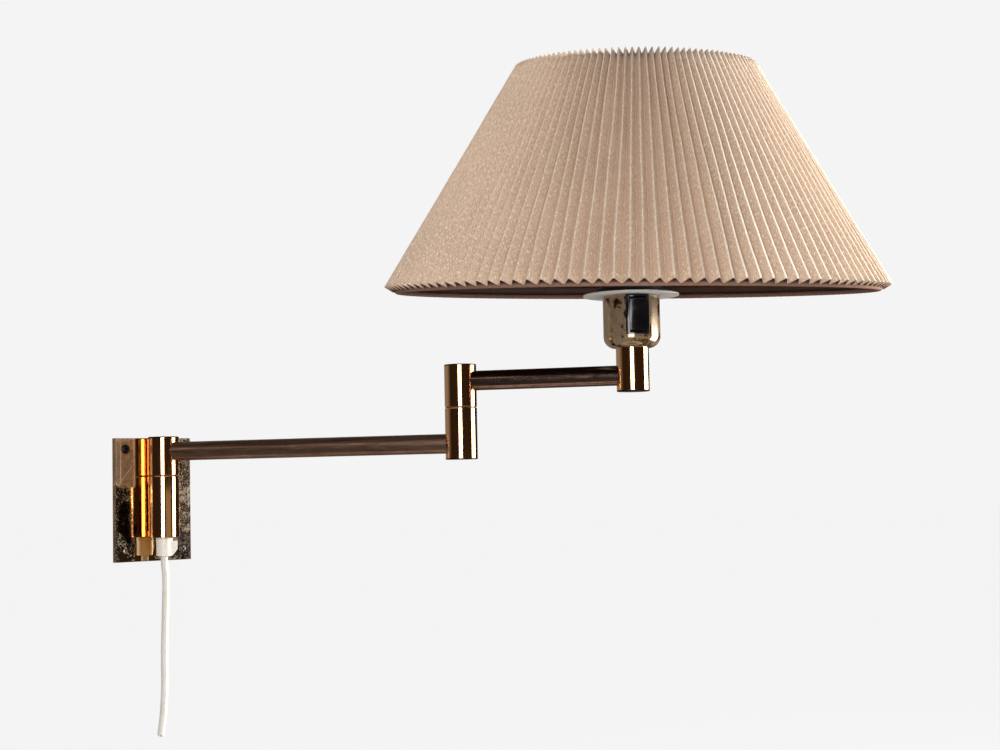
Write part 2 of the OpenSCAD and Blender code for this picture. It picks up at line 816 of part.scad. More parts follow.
// Rocker with its pins, resting with the upper end out
module switch_rocker() {
    end = rocker_h / 2;
    color([0.02, 0.02, 0.03])
        at_switch()
            translate([rocker_pivot, 0, 0])
                rotate([90, rocker_tilt, 0]) {
                    translate([0, 0, -rocker_w / 2])
                        linear_extrude(rocker_w)
                            polygon([
                                [5.2, end - 0.6], [4.7, end], [2, end - 0.4], [-0.6, 5], [-2.6, 2.4],
                                [-2.6, -2.4], [-0.6, -5], [2, 0.4 - end], [4.7, -end],
                                [5.2, 0.6 - end], [4.2, 0]
                            ]);
                    translate([0, 0, -rocker_w / 2 - rocker_pin_l])
                        cylinder(h = rocker_w + 2 * rocker_pin_l, r = rocker_pin_r);
                }
}

module white_disc() {
    color("white") at_holder() collar(disc_d / 2, skirt_r + 0.4, cup_top_z, disc_top_z);
}

// Cone-shaped ring that screws down on the skirt, with finger notches in its wide edge
module shade_ring(d, z, h) {
    color([0.03, 0.03, 0.03])
        at_holder()
            difference() {
                rotate_extrude()
                    polygon([
                        [ring_bore_r, z], [d / 2, z], [d / 2, z + ring_edge],
                        [ring_neck_r, z + h], [ring_bore_r, z + h]
                    ]);
                for (i = [0:ring_notches - 1])
                    rotate([0, 0, (i + 0.5) * 360 / ring_notches])
                        translate([d / 2 + notch_r * 0.4, 0, z - over])
                            cylinder(h = h + 2 * over, r = notch_r, $fn = 24);
            }
}

module lower_shade_ring() {
    shade_ring(lower_ring_d, disc_top_z, lower_ring_h);
}

module upper_shade_ring() {
    shade_ring(upper_ring_d, carrier_z + carrier_t, upper_ring_h);
}

// A leg from inside the level ring up to the upper hoop, butted against the hoop
module leg_rod(a) {
    foot = [leg_foot_r * cos(a), leg_foot_r * sin(a), carrier_z];
    head = from_shade([
        upper_hoop_at.x * cos(a),
        upper_hoop_at.x * sin(a),
        upper_hoop_at.y
    ]);
    rod(foot, head + (foot - head) * (hoop_r + weld_gap) / norm(foot - head), leg_d / 2);
}

// Level ring that the two shade rings clamp
module shade_carrier() {
    color([0.75, 0.75, 0.72])
        at_holder() collar(carrier_r, ring_bore_r + 0.2, carrier_z, carrier_z + carrier_t);
}

// Legs that stand on the level ring and end on the hoop inside the shade's top
module carrier_legs() {
    color([0.75, 0.75, 0.72])
        at_holder()
            for (i = [0:leg_count - 1])
                intersection() {
                    leg_rod(leg_turn + i * 360 / leg_count);
                    translate([0, 0, carrier_z + carrier_t + weld_gap])
                        cylinder(h = shade_h, r = shade_r0);
                }
}

module hoop(at, r) {
    rotate_extrude() translate(at) circle(r = r, $fn = 32);
}

module hoop_tape(at) {
    rotate_extrude()
        translate(at)
            difference() {
                circle(r = bound_r, $fn = 32);
                circle(r = hoop_r + weld_gap, $fn = 32);
            }
}

// The leaning hoop inside the shade's top
module upper_hoop() {
    color([0.75, 0.75, 0.72]) on_shade() hoop(upper_hoop_at, hoop_r);
}

module lower_hoop() {
    color([0.75, 0.75, 0.72]) on_shade() hoop(lower_hoop_at, hoop_r);
}

module lower_hoop_tape() {
    color([0.8, 0.6, 0.52]) on_shade() hoop_tape(lower_hoop_at);
}

module upper_hoop_tape() {
    color([0.8, 0.6, 0.52])
        difference() {
            on_shade() hoop_tape(upper_hoop_at);
            at_holder()
                for (i = [0:leg_count - 1]) leg_rod(leg_turn + i * 360 / leg_count);
        }
}

// Folded sheet: ridges and valleys run up the cone, and both ends are cut square to its slope
module pleated_shade() {
    n = 2 * pleat_count;
    low = [shade_r0, shade_lift];
    high = [shade_r1, shade_lift + shade_h];
    edge = [for (inner = [false, true], end = [low, high], k = [0:n - 1])
        let (p = k % 2 == 0 ? ridge(end.x, end.y, inner) : valley(end.x, end.y, inner))
        [p.x * cos(k * 360 / n), p.x * sin(k * 360 / n), p.y]];
    // edge holds four loops in turn: outer low, outer high, inner low, inner high
    skins = [for (k = [0:n - 1])
        let (a = k, b = (k + 1) % n)
        each [
            [a, a + n, b], [b, a + n, b + n],
            [a + 2 * n, b + 2 * n, a + 3 * n], [b + 2 * n, b + 3 * n, a + 3 * n],
            [a, b, a + 2 * n], [b, b + 2 * n, a + 2 * n],
            [a + n, a + 3 * n, b + n], [b + n, a + 3 * n, b + 3 * n]
        ]];
    color([0.78, 0.6, 0.47]) on_shade() polyhedron(edge, skins, convexity = 10);
}

wall_plate();
barrel_saddle();
barrel_screws();
wall_barrel();
barrel_plug();
gland_body();
gland_clamp_screw();
mains_cord();
lead_wall();
wall_spindle();
wall_seam_washer();
wall_spring_washer();
wall_pivot_nut();
wall_sleeve();
wall_sleeve_lid();
long_arm_tube();
lead_long_arm();
elbow_lower_sleeve();
elbow_lower_lid();
elbow_spindle();
elbow_seam_washer();
elbow_spring_washer();
elbow_pivot_nut();
elbow_upper_sleeve();
elbow_upper_lid();
short_arm_tube();
lead_short_arm();
holder_barrel();
holder_barrel_lid();
holder_nipple();
nipple_nuts();
socket_cup();
holder_insulator();
screw_shell();
centre_contact();
terminal_blocks();
switch_housing();
switch_rocker();
white_disc();
lower_shade_ring();
upper_shade_ring();
shade_carrier();
carrier_legs();
upper_hoop();
lower_hoop();
lower_hoop_tape();
upper_hoop_tape();
pleated_shade();
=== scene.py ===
import json
import math
import random

import bmesh
import bpy
from mathutils import Matrix, Vector, noise


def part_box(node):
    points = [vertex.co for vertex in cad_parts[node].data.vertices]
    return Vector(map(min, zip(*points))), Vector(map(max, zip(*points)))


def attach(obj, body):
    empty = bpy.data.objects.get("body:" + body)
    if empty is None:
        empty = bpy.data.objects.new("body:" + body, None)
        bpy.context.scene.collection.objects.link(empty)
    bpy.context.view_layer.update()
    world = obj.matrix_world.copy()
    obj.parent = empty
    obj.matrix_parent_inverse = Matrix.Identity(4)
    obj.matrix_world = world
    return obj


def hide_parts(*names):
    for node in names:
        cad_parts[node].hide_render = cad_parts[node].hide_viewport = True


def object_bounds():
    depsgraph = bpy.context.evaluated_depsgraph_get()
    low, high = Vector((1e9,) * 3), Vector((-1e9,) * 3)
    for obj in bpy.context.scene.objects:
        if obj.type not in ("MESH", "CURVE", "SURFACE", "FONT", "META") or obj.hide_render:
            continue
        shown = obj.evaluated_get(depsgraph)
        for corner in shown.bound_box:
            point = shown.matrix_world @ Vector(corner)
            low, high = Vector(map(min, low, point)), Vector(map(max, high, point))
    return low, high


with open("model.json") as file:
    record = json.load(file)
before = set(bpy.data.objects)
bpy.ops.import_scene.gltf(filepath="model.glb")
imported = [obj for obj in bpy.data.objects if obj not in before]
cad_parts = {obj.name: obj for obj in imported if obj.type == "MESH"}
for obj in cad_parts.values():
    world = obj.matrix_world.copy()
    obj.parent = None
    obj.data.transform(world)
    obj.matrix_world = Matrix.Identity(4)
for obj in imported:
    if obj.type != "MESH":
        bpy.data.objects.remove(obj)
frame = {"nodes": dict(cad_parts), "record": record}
nodes = frame["nodes"]
cad_low, cad_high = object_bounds()

# Places and sizes that the part's source gives, in metres
BARREL_Y = -0.022
GLAND_MOUTH = Vector((0, BARREL_Y, -0.0483))
HOLDER = Vector((0.206401, -0.382838, 0))
SHORT_ARM_TURN = math.radians(-57.2)
CUP_TOP = 0.154
CUP_FLOOR = 0.1128
CORD_D = 0.006
SHADE_LOW = (0.200, 0.0083)
SHADE_HIGH = (0.096, 0.1823)
FOLDS = 120
FOLD_FACE = 0.010
CLOTH = 0.0005
# The side of the shade whose ridge crowns carry a painted highlight, as a level direction
LIT_RIDGE_SIDE = (0.966, -0.259, 0)
PLATE_T = 0.006
# Wall screws in the plate's corners (x, z)
SCREW_TOP_LEFT = (-0.028, 0.0435)
SCREW_BOTTOM_RIGHT = (0.028, -0.0435)
# Strip of the plate that is wiped clean behind the barrel
WIPED_MIDDLE = -0.0095
WIPED_HALF = 0.0095
# The switch's slot in the cup
SLOT_FOOT = 0.1225
SLOT_WIDTH = 0.0187
# Brightness of the pale ground behind the lamp
GROUND = (0.905, 0.905, 0.905, 1)


# ---- Camera and cord ----

def linked(name, data):
    """A new object in the scene."""
    made = bpy.data.objects.new(name, data)
    bpy.context.scene.collection.objects.link(made)
    return made


def place_camera():
    """Camera at the photograph's place, tilted a little up and rolled a little."""
    yaw, pitch, roll = (math.radians(a) for a in (42.47, 3.41, -1.14))
    ahead = Vector((math.sin(yaw), math.cos(yaw), 0))
    side = Vector((math.cos(yaw), -math.sin(yaw), 0))
    up = Vector((0, 0, 1))
    look = ahead * math.cos(pitch) + up * math.sin(pitch)
    top = up * math.cos(pitch) - ahead * math.sin(pitch)
    right = side * math.cos(roll) + top * math.sin(roll)
    crown = top * math.cos(roll) - side * math.sin(roll)
    data = bpy.data.cameras.new("camera")
    data.sensor_width = 36
    data.lens = 63.72
    data.clip_start = 0.02
    data.clip_end = 100
    camera = linked("camera", data)
    turn = Matrix((right, crown, -look)).transposed().to_4x4()
    camera.matrix_world = Matrix.Translation((-0.81455, -1.34257, 0.01041)) @ turn
    bpy.context.scene.camera = camera


CORD_ROUTE = [
    (0, 0), (0, -5), (0.5, -11), (1.2, -21), (1, -32), (0.5, -45), (0, -60), (-0.5, -75),
    (-0.8, -92), (-0.8, -110), (-1.6, -125), (-3, -139), (-5, -152)
]


def cord_points():
    return [GLAND_MOUTH + Vector((x, 0, z)) / 1000 for x, z in CORD_ROUTE]


def hang_cord():
    """The short mains cord as one smooth round curve, with a cut end."""
    curve = bpy.data.curves.new("mains_cord_sheath", "CURVE")
    curve.dimensions = "3D"
    curve.resolution_u = 10
    curve.bevel_depth = 1
    curve.bevel_resolution = 5
    curve.use_fill_caps = True
    route = curve.splines.new("BEZIER")
    points = cord_points()
    route.bezier_points.add(len(points) - 1)
    for knot, place in zip(route.bezier_points, points):
        knot.co = place
        knot.radius = CORD_D / 2
        knot.handle_left_type = knot.handle_right_type = "AUTO"
    cord = linked("mains_cord_sheath", curve)
    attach(cord, "wall")
    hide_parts("mains_cord")
    return cord


place_camera()
cord = hang_cord()


# ---- Making meshes ----

def mesh_of(name, bm):
    """Turns a bmesh into a mesh."""
    mesh = bpy.data.meshes.new(name)
    bm.to_mesh(mesh)
    bm.free()
    return mesh


def keep(name, bm, body, turn=None):
    """Turns a bmesh into a piece that sits at the origin and rides on a body."""
    if turn is not None:
        bm.transform(turn)
    for face in bm.faces:
        face.smooth = True
    piece = linked(name, mesh_of(name, bm))
    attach(piece, body)
    return piece


def crease(bm, degrees=35):
    """Marks edges sharper than this, so that smooth shading stops there."""
    for edge in bm.edges:
        if len(edge.link_faces) == 2:
            edge.smooth = edge.calc_face_angle(0) < math.radians(degrees)


def turned(outline, steps=96, closed=True):
    """A body of revolution round Z from an outline of (radius, height) points."""
    bm = bmesh.new()
    points = [bm.verts.new((r, 0, z)) for r, z in outline]
    ends = points[1:] + points[:1] if closed else points[1:]
    edges = [bm.edges.new(pair) for pair in zip(points, ends)]
    bmesh.ops.spin(bm, geom=points + edges, axis=(0, 0, 1), cent=(0, 0, 0),
                   angle=math.tau, steps=steps, use_merge=True, use_duplicate=False)
    bmesh.ops.remove_doubles(bm, verts=bm.verts, dist=1e-7)
    bmesh.ops.recalc_face_normals(bm, faces=bm.faces)
    return bm


def arc(centre_r, centre_z, radius, start, end, steps=6):
    """Points on an arc of an outline, in degrees counted from straight outward."""
    angles = [math.radians(start + (end - start) * i / steps) for i in range(steps + 1)]
    return [(centre_r + radius * math.cos(a), centre_z + radius * math.sin(a)) for a in angles]


def softened(node, body, width):
    """A copy of a CAD node with its sharp edges rounded, standing for the node."""
    bm = bmesh.new()
    bm.from_mesh(nodes[node].data)
    bmesh.ops.remove_doubles(bm, verts=bm.verts, dist=1e-6)
    bmesh.ops.dissolve_limit(bm, angle_limit=math.radians(1), verts=bm.verts, edges=bm.edges)
    edges = [e for e in bm.edges
             if len(e.link_faces) == 2 and e.calc_face_angle(0) > math.radians(32)]
    bmesh.ops.bevel(bm, geom=edges, offset=width, offset_type="OFFSET", segments=2,
                    profile=0.5, affect="EDGES", clamp_overlap=True, material=-1)
    crease(bm, 40)
    piece = keep(node + "_piece", bm, body)
    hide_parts(node)
    return piece


def cut(piece, cutter_bm):
    """Cuts the cutter's shape out of a piece."""
    cutter = linked("cutter", mesh_of("cutter", cutter_bm))
    tool = piece.modifiers.new("cut", "BOOLEAN")
    tool.object = cutter
    tool.operation = "DIFFERENCE"
    tool.solver = "EXACT"
    depsgraph = bpy.context.evaluated_depsgraph_get()
    made = bpy.data.meshes.new_from_object(piece.evaluated_get(depsgraph))
    piece.modifiers.clear()
    piece.data = made
    bpy.data.objects.remove(cutter)
    bm = bmesh.new()
    bm.from_mesh(made)
    crease(bm)
    bm.to_mesh(made)
    bm.free()


# ---- Effects that several materials share ----

def add(tree, kind, inputs=None, **settings):
    """Adds a shader node, with its inputs set or linked."""
    made = tree.nodes.new(kind)
    for key, value in settings.items():
        setattr(made, key, value)
    for key, value in (inputs or {}).items():
        if isinstance(value, bpy.types.NodeSocket):
            tree.links.new(value, made.inputs[key])
        else:
            made.inputs[key].default_value = value
    return made


def effect(name, inputs, outputs):
    """An empty node group with named inputs and outputs."""
    group = bpy.data.node_groups.new(name, "ShaderNodeTree")
    for label, kind, value in inputs:
        socket = group.interface.new_socket(label, in_out="INPUT", socket_type=kind)
        if value is not None:
            socket.default_value = value
    for label, kind in outputs:
        group.interface.new_socket(label, in_out="OUTPUT", socket_type=kind)
    return group, group.nodes.new("NodeGroupInput").outputs, group.nodes.new("NodeGroupOutput")


NUMBER, PLACE = "NodeSocketFloat", "NodeSocketVector"


def noise_of(tree, place, scale, detail=4.0, rough=0.55, bend=0.0):
    return add(tree, "ShaderNodeTexNoise",
               {"Vector": place, "Scale": scale, "Detail": detail, "Roughness": rough,
                "Distortion": bend}).outputs["Fac"]


def ramp(tree, value, low, high, to_low=0.0, to_high=1.0):
    return add(tree, "ShaderNodeMapRange",
               {"Value": value, "From Min": low, "From Max": high, "To Min": to_low,
                "To Max": to_high}, interpolation_type="SMOOTHSTEP").outputs["Result"]


def maths(tree, how, *values):
    """The result of a sum, from one or two numbers or sockets."""
    return add(tree, "ShaderNodeMath", dict(enumerate(values)), operation=how).outputs[0]


def plus(tree, a, b):
    return maths(tree, "ADD", a, b)


def minus(tree, a, b):
    return maths(tree, "SUBTRACT", a, b)


def times(tree, a, b):
    return maths(tree, "MULTIPLY", a, b)


def top_of(tree, a, b):
    return maths(tree, "MAXIMUM", a, b)


def vectors(tree, how, *values, out="Vector"):
    """The result of a sum with vectors."""
    made = add(tree, "ShaderNodeVectorMath", dict(enumerate(values)), operation=how)
    return made.outputs[out]


def parts_of(tree, place):
    return add(tree, "ShaderNodeSeparateXYZ", {0: place}).outputs


def blend_of(tree, share, a, b):
    made = add(tree, "ShaderNodeMix", {"Factor": share}, data_type="RGBA")
    for socket, value in ((made.inputs[6], a), (made.inputs[7], b)):
        if isinstance(value, bpy.types.NodeSocket):
            tree.links.new(value, socket)
        else:
            socket.default_value = (*value, 1)
    return made.outputs[2]


def stretched(tree, place, scale):
    return add(tree, "ShaderNodeMapping", {"Vector": place, "Scale": scale}).outputs["Vector"]


def make_tarnish():
    """Cloudy patches with a soft edge, and fine speckle inside them."""
    group, given, out = effect("tarnish", [
        ("Place", PLACE, None), ("Scale", NUMBER, 40.0), ("Cover", NUMBER, 0.5),
        ("Edge", NUMBER, 0.1)], [("Patches", NUMBER), ("Speckle", NUMBER)])
    clouds = noise_of(group, given["Place"], given["Scale"], 7, 0.62, 0.4)
    low = minus(group, minus(group, 1.0, given["Cover"]), given["Edge"])
    high = plus(group, minus(group, 1.0, given["Cover"]), given["Edge"])
    patches = ramp(group, clouds, low, high)
    grain = noise_of(group, given["Place"], times(group, given["Scale"], 14), 3, 0.7)
    group.links.new(patches, out.inputs["Patches"])
    group.links.new(ramp(group, grain, 0.42, 0.62), out.inputs["Speckle"])
    return group


def make_hairlines():
    """Long thin lines along one direction, as polishing and wiping leave."""
    group, given, out = effect("hairlines", [
        ("Place", PLACE, None), ("Stretch", PLACE, (1, 1, 1)), ("Amount", NUMBER, 0.5)],
                               [("Lines", NUMBER), ("Height", NUMBER)])
    place = vectors(group, "MULTIPLY", given["Place"], given["Stretch"])
    fine = noise_of(group, place, 1.0, 3, 0.6)
    broad = noise_of(group, place, 0.23, 2, 0.5)
    lines = ramp(group, times(group, fine, plus(group, broad, 0.5)), 0.46, 0.66)
    group.links.new(times(group, lines, given["Amount"]), out.inputs["Lines"])
    group.links.new(fine, out.inputs["Height"])
    return group


def make_worn_edges():
    """White along edges, where hands and cloths rub the finish off."""
    group, given, out = effect("worn_edges", [
        ("Place", PLACE, None), ("Width", NUMBER, 0.0005)], [("Edges", NUMBER)])
    rounded = add(group, "ShaderNodeBevel", {"Radius": given["Width"]}, samples=4).outputs[0]
    flat = add(group, "ShaderNodeNewGeometry").outputs["Normal"]
    along = vectors(group, "DOT_PRODUCT", rounded, flat, out="Value")
    patchy = noise_of(group, given["Place"], 260, 3)
    edges = ramp(group, minus(group, 1.0, along), 0.01, 0.12)
    group.links.new(times(group, edges, ramp(group, patchy, 0.35, 0.6)), out.inputs["Edges"])
    return group


def make_settled_dust():
    """Pale dust, thickest on faces that look up."""
    group, given, out = effect("settled_dust", [
        ("Place", PLACE, None), ("Amount", NUMBER, 0.3)], [("Dust", NUMBER)])
    up = parts_of(group, add(group, "ShaderNodeNewGeometry").outputs["Normal"])["Z"]
    specks = ramp(group, noise_of(group, given["Place"], 420, 5, 0.7), 0.45, 0.75)
    veil = ramp(group, up, 0.2, 1.0)
    mixed = times(group, plus(group, times(group, specks, 0.6), 0.4), veil)
    group.links.new(times(group, mixed, given["Amount"]), out.inputs["Dust"])
    return group


def make_plain_weave():
    """Over and under threads with slubs, on a map in metres."""
    group, given, out = effect("plain_weave", [
        ("Map", PLACE, None), ("Pitch", NUMBER, 0.0007), ("Slubs", NUMBER, 0.5)],
        [("Height", NUMBER), ("Light Thread", NUMBER), ("Dark Thread", NUMBER),
         ("Cloud", NUMBER)])
    split = parts_of(group, given["Map"])
    turns = maths(group, "DIVIDE", math.pi, given["Pitch"])
    across = maths(group, "SINE", times(group, split["X"], turns))
    along = maths(group, "SINE", times(group, split["Y"], turns))
    height = ramp(group, times(group, across, along), -1, 1)
    warp_slub = noise_of(group, stretched(group, given["Map"], (2300, 330, 1)), 1.0, 1, 0.5)
    weft_slub = noise_of(group, stretched(group, given["Map"], (380, 2100, 1)), 1.0, 1, 0.5)
    fine = noise_of(group, stretched(group, given["Map"], (3000, 1900, 1)), 1.0, 1, 0.5)
    light = top_of(group, ramp(group, warp_slub, 0.52, 0.70),
                   ramp(group, weft_slub, 0.56, 0.74, 0.0, 0.7))
    light = top_of(group, light, ramp(group, fine, 0.58, 0.74, 0.0, 0.8))
    dark = top_of(group, ramp(group, warp_slub, 0.46, 0.30),
                  ramp(group, fine, 0.42, 0.26, 0.0, 0.8))
    slubs = times(group, light, given["Slubs"])
    group.links.new(plus(group, height, slubs), out.inputs["Height"])
    group.links.new(light, out.inputs["Light Thread"])
    group.links.new(dark, out.inputs["Dark Thread"])
    group.links.new(noise_of(group, stretched(group, given["Map"], (9, 14, 1)), 1.0, 4),
                    out.inputs["Cloud"])
    return group


def make_moulded_skin():
    """The faint orange peel and flow marks of a moulded surface."""
    group, given, out = effect("moulded_skin", [
        ("Place", PLACE, None), ("Scale", NUMBER, 900.0)],
                               [("Height", NUMBER), ("Marks", NUMBER)])
    peel = noise_of(group, given["Place"], given["Scale"], 2, 0.5)
    flow = noise_of(group, given["Place"], times(group, given["Scale"], 0.08), 5, 0.6, 0.5)
    group.links.new(peel, out.inputs["Height"])
    group.links.new(ramp(group, flow, 0.35, 0.7), out.inputs["Marks"])
    return group


TARNISH = make_tarnish()
HAIRLINES = make_hairlines()
WORN_EDGES = make_worn_edges()
SETTLED_DUST = make_settled_dust()
PLAIN_WEAVE = make_plain_weave()
MOULDED_SKIN = make_moulded_skin()


def use(tree, group, **inputs):
    """Places a shared effect in a material. An underscore in a name stands for a space."""
    made = add(tree, "ShaderNodeGroup", node_tree=group)
    for key, value in inputs.items():
        socket = made.inputs[key.replace("_", " ")]
        if isinstance(value, bpy.types.NodeSocket):
            tree.links.new(value, socket)
        else:
            socket.default_value = value
    return made.outputs


# ---- Materials ----

def barrel_end(lid, side):
    """Middle (x) and height of a closed barrel end, below (0) or above (1)."""
    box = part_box(lid)
    return (box[0].x + box[1].x) / 2, box[side].z


# Barrel ends whose edge rings are painted dark, as a painted dark reflection of their rounded
# edges
DARK_PAINTED_BARREL_ENDS = [barrel_end("wall_sleeve_lid", 1), barrel_end("elbow_lower_lid", 0),
               barrel_end("elbow_upper_lid", 1), barrel_end("holder_barrel_lid", 0)]


def new_material(name, metal=0.0, rough=0.5, **constants):
    """A material with a Principled shader, whose fixed values are set on its own sockets."""
    material = bpy.data.materials.new(name)
    material.use_nodes = True
    tree = material.node_tree
    shader = tree.nodes["Principled BSDF"]
    shader.inputs["Metallic"].default_value = metal
    shader.inputs["Roughness"].default_value = rough
    for key, value in constants.items():
        shader.inputs[key.replace("_", " ")].default_value = value
    place = add(tree, "ShaderNodeTexCoord").outputs["Object"]
    return material, tree, shader.inputs, place


def layer(tree, base, mask, share, tint):
    """A tint over the colour so far, as strong as the mask says."""
    return blend_of(tree, times(tree, mask, share), base, tint)


def finish(tree, sockets, base, gloss, height, strength, distance):
    """Links the colour, the roughness unless it is even, and the relief to the shader."""
    tree.links.new(base, sockets["Base Color"])
    if gloss is not None:
        tree.links.new(gloss, sockets["Roughness"])
    relief = add(tree, "ShaderNodeBump", {"Height": height, "Strength": strength,
                                          "Distance": distance})
    tree.links.new(relief.outputs["Normal"], sockets["Normal"])


def polished_brass(name, tint, tarnish_tint, cover=0.3, rough=0.06, stretch=(900, 900, 25),
                   dull=0.22, scale=55.0, grime=None, painted_dark_ends=()):
    """Old polished brass: bright metal, cloudy tarnish, dark grime, wiping lines, rubbed edges,
    and painted dark rings at the given ends.
    """
    material, tree, sockets, place = new_material(name)
    tarnish = use(tree, TARNISH, Place=place, Scale=scale, Cover=cover, Edge=0.12)
    lines = use(tree, HAIRLINES, Place=place, Stretch=stretch, Amount=0.7)
    edges = use(tree, WORN_EDGES, Place=place, Width=0.0004)["Edges"]
    dust = use(tree, SETTLED_DUST, Place=place, Amount=0.35)["Dust"]
    patches = times(tree, tarnish["Patches"],
                    plus(tree, times(tree, tarnish["Speckle"], 0.5), 0.5))
    base = blend_of(tree, patches, tint, tarnish_tint)
    base = layer(tree, base, lines["Lines"], 0.25, [c * 0.55 for c in tint])
    base = layer(tree, base, edges, 0.25, (0.90, 0.66, 0.38))
    base = layer(tree, base, dust, 0.3, (0.50, 0.44, 0.38))
    gloss = plus(tree, rough, times(tree, patches, dull))
    gloss = plus(tree, gloss, times(tree, lines["Lines"], 0.06))
    gloss = plus(tree, gloss, times(tree, dust, 0.3))
    if grime:
        grime_cover, grime_tint, grime_dull = grime
        dark = use(tree, TARNISH, Place=stretched(tree, place, (1.6, 1.6, 0.8)), Scale=scale * 0.8,
                   Cover=grime_cover, Edge=0.05)
        cloud = ramp(tree, dark["Speckle"], 0.15, 0.6, 0.55, 1.0)
        covered = times(tree, dark["Patches"], cloud)
        base = blend_of(tree, covered, base, grime_tint)
        gloss = plus(tree, gloss, times(tree, covered, grime_dull))
        tree.links.new(minus(tree, 1.0, times(tree, covered, 0.85)), sockets["Metallic"])
    else:
        sockets["Metallic"].default_value = 1.0
    # Painted dark reflection: a thin near-black ring round each given barrel end
    if painted_dark_ends:
        parts = parts_of(tree, place)
        uneven = times(tree, noise_of(tree, place, 240, 3), 0.0006)
        rings = 0.0
        for middle, height in painted_dark_ends:
            near = maths(tree, "ABSOLUTE", minus(tree, parts["X"], middle))
            off = maths(tree, "ABSOLUTE", minus(tree, parts["Z"], height))
            ring = times(tree, ramp(tree, near, 0.021, 0.020),
                         ramp(tree, plus(tree, off, uneven), 0.0017, 0.0011))
            rings = top_of(tree, ring, rings)
        base = blend_of(tree, rings, base, (0.014, 0.008, 0.006))
        gloss = plus(tree, gloss, times(tree, rings, 0.25))
    finish(tree, sockets, base, gloss, lines["Height"], 0.03, 0.00002)
    return material


def aged_tube(name, tint, rough, light, dark, streaky=0.5):
    """Brown, unpolished tube with darker and lighter streaks along its length."""
    material, tree, sockets, place = new_material(name, metal=1.0)
    along = add(tree, "ShaderNodeMapping", {"Vector": place, "Rotation": (0, 0, math.radians(60))},
                vector_type="POINT").outputs["Vector"]
    streaks = use(tree, HAIRLINES, Place=along, Stretch=(22, 900, 900), Amount=1.0)
    broad = use(tree, HAIRLINES, Place=along, Stretch=(9, 300, 300), Amount=1.0)
    tarnish = use(tree, TARNISH, Place=along, Scale=60.0, Cover=0.5, Edge=0.16)
    dust = use(tree, SETTLED_DUST, Place=place, Amount=0.4)["Dust"]
    base = blend_of(tree, times(tree, tarnish["Patches"], 0.5), tint, dark)
    base = layer(tree, base, streaks["Lines"], streaky, light)
    base = layer(tree, base, broad["Lines"], streaky, dark)
    base = layer(tree, base, tarnish["Speckle"], 0.15, dark)
    base = layer(tree, base, dust, 0.25, (0.30, 0.24, 0.2))
    gloss = plus(tree, rough, times(tree, tarnish["Patches"], 0.1))
    gloss = plus(tree, gloss, times(tree, dust, 0.2))
    finish(tree, sockets, base, gloss, streaks["Height"], 0.04, 0.00002)
    return material


def painted_streak(tree, parts, start, end, width):
    """A straight painted highlight line on the plate's face, from one point (x, z) to another."""
    run = Vector(end) - Vector(start)
    length = run.length
    run /= length
    x = minus(tree, parts["X"], start[0])
    z = minus(tree, parts["Z"], start[1])
    along = plus(tree, times(tree, x, run[0]), times(tree, z, run[1]))
    off = maths(tree, "ABSOLUTE", minus(tree, times(tree, x, run[1]), times(tree, z, run[0])))
    ends = times(tree, ramp(tree, along, 0, 0.002), ramp(tree, along, length, length - 0.004))
    return times(tree, ends, ramp(tree, off, width, width * 0.3))


def patch(tree, place, cloud, middle, half):
    """A ragged oval on the plate's face, from its middle and half sizes (x, z)."""
    flat = vectors(tree, "SUBTRACT", place, (middle[0], 0, middle[1]))
    flat = vectors(tree, "MULTIPLY", flat, (1 / half[0], 0, 1 / half[1]))
    off = vectors(tree, "LENGTH", flat, out="Value")
    off = plus(tree, off, times(tree, minus(tree, cloud, 0.5), 1.6))
    return ramp(tree, off, 1.15, 0.85)


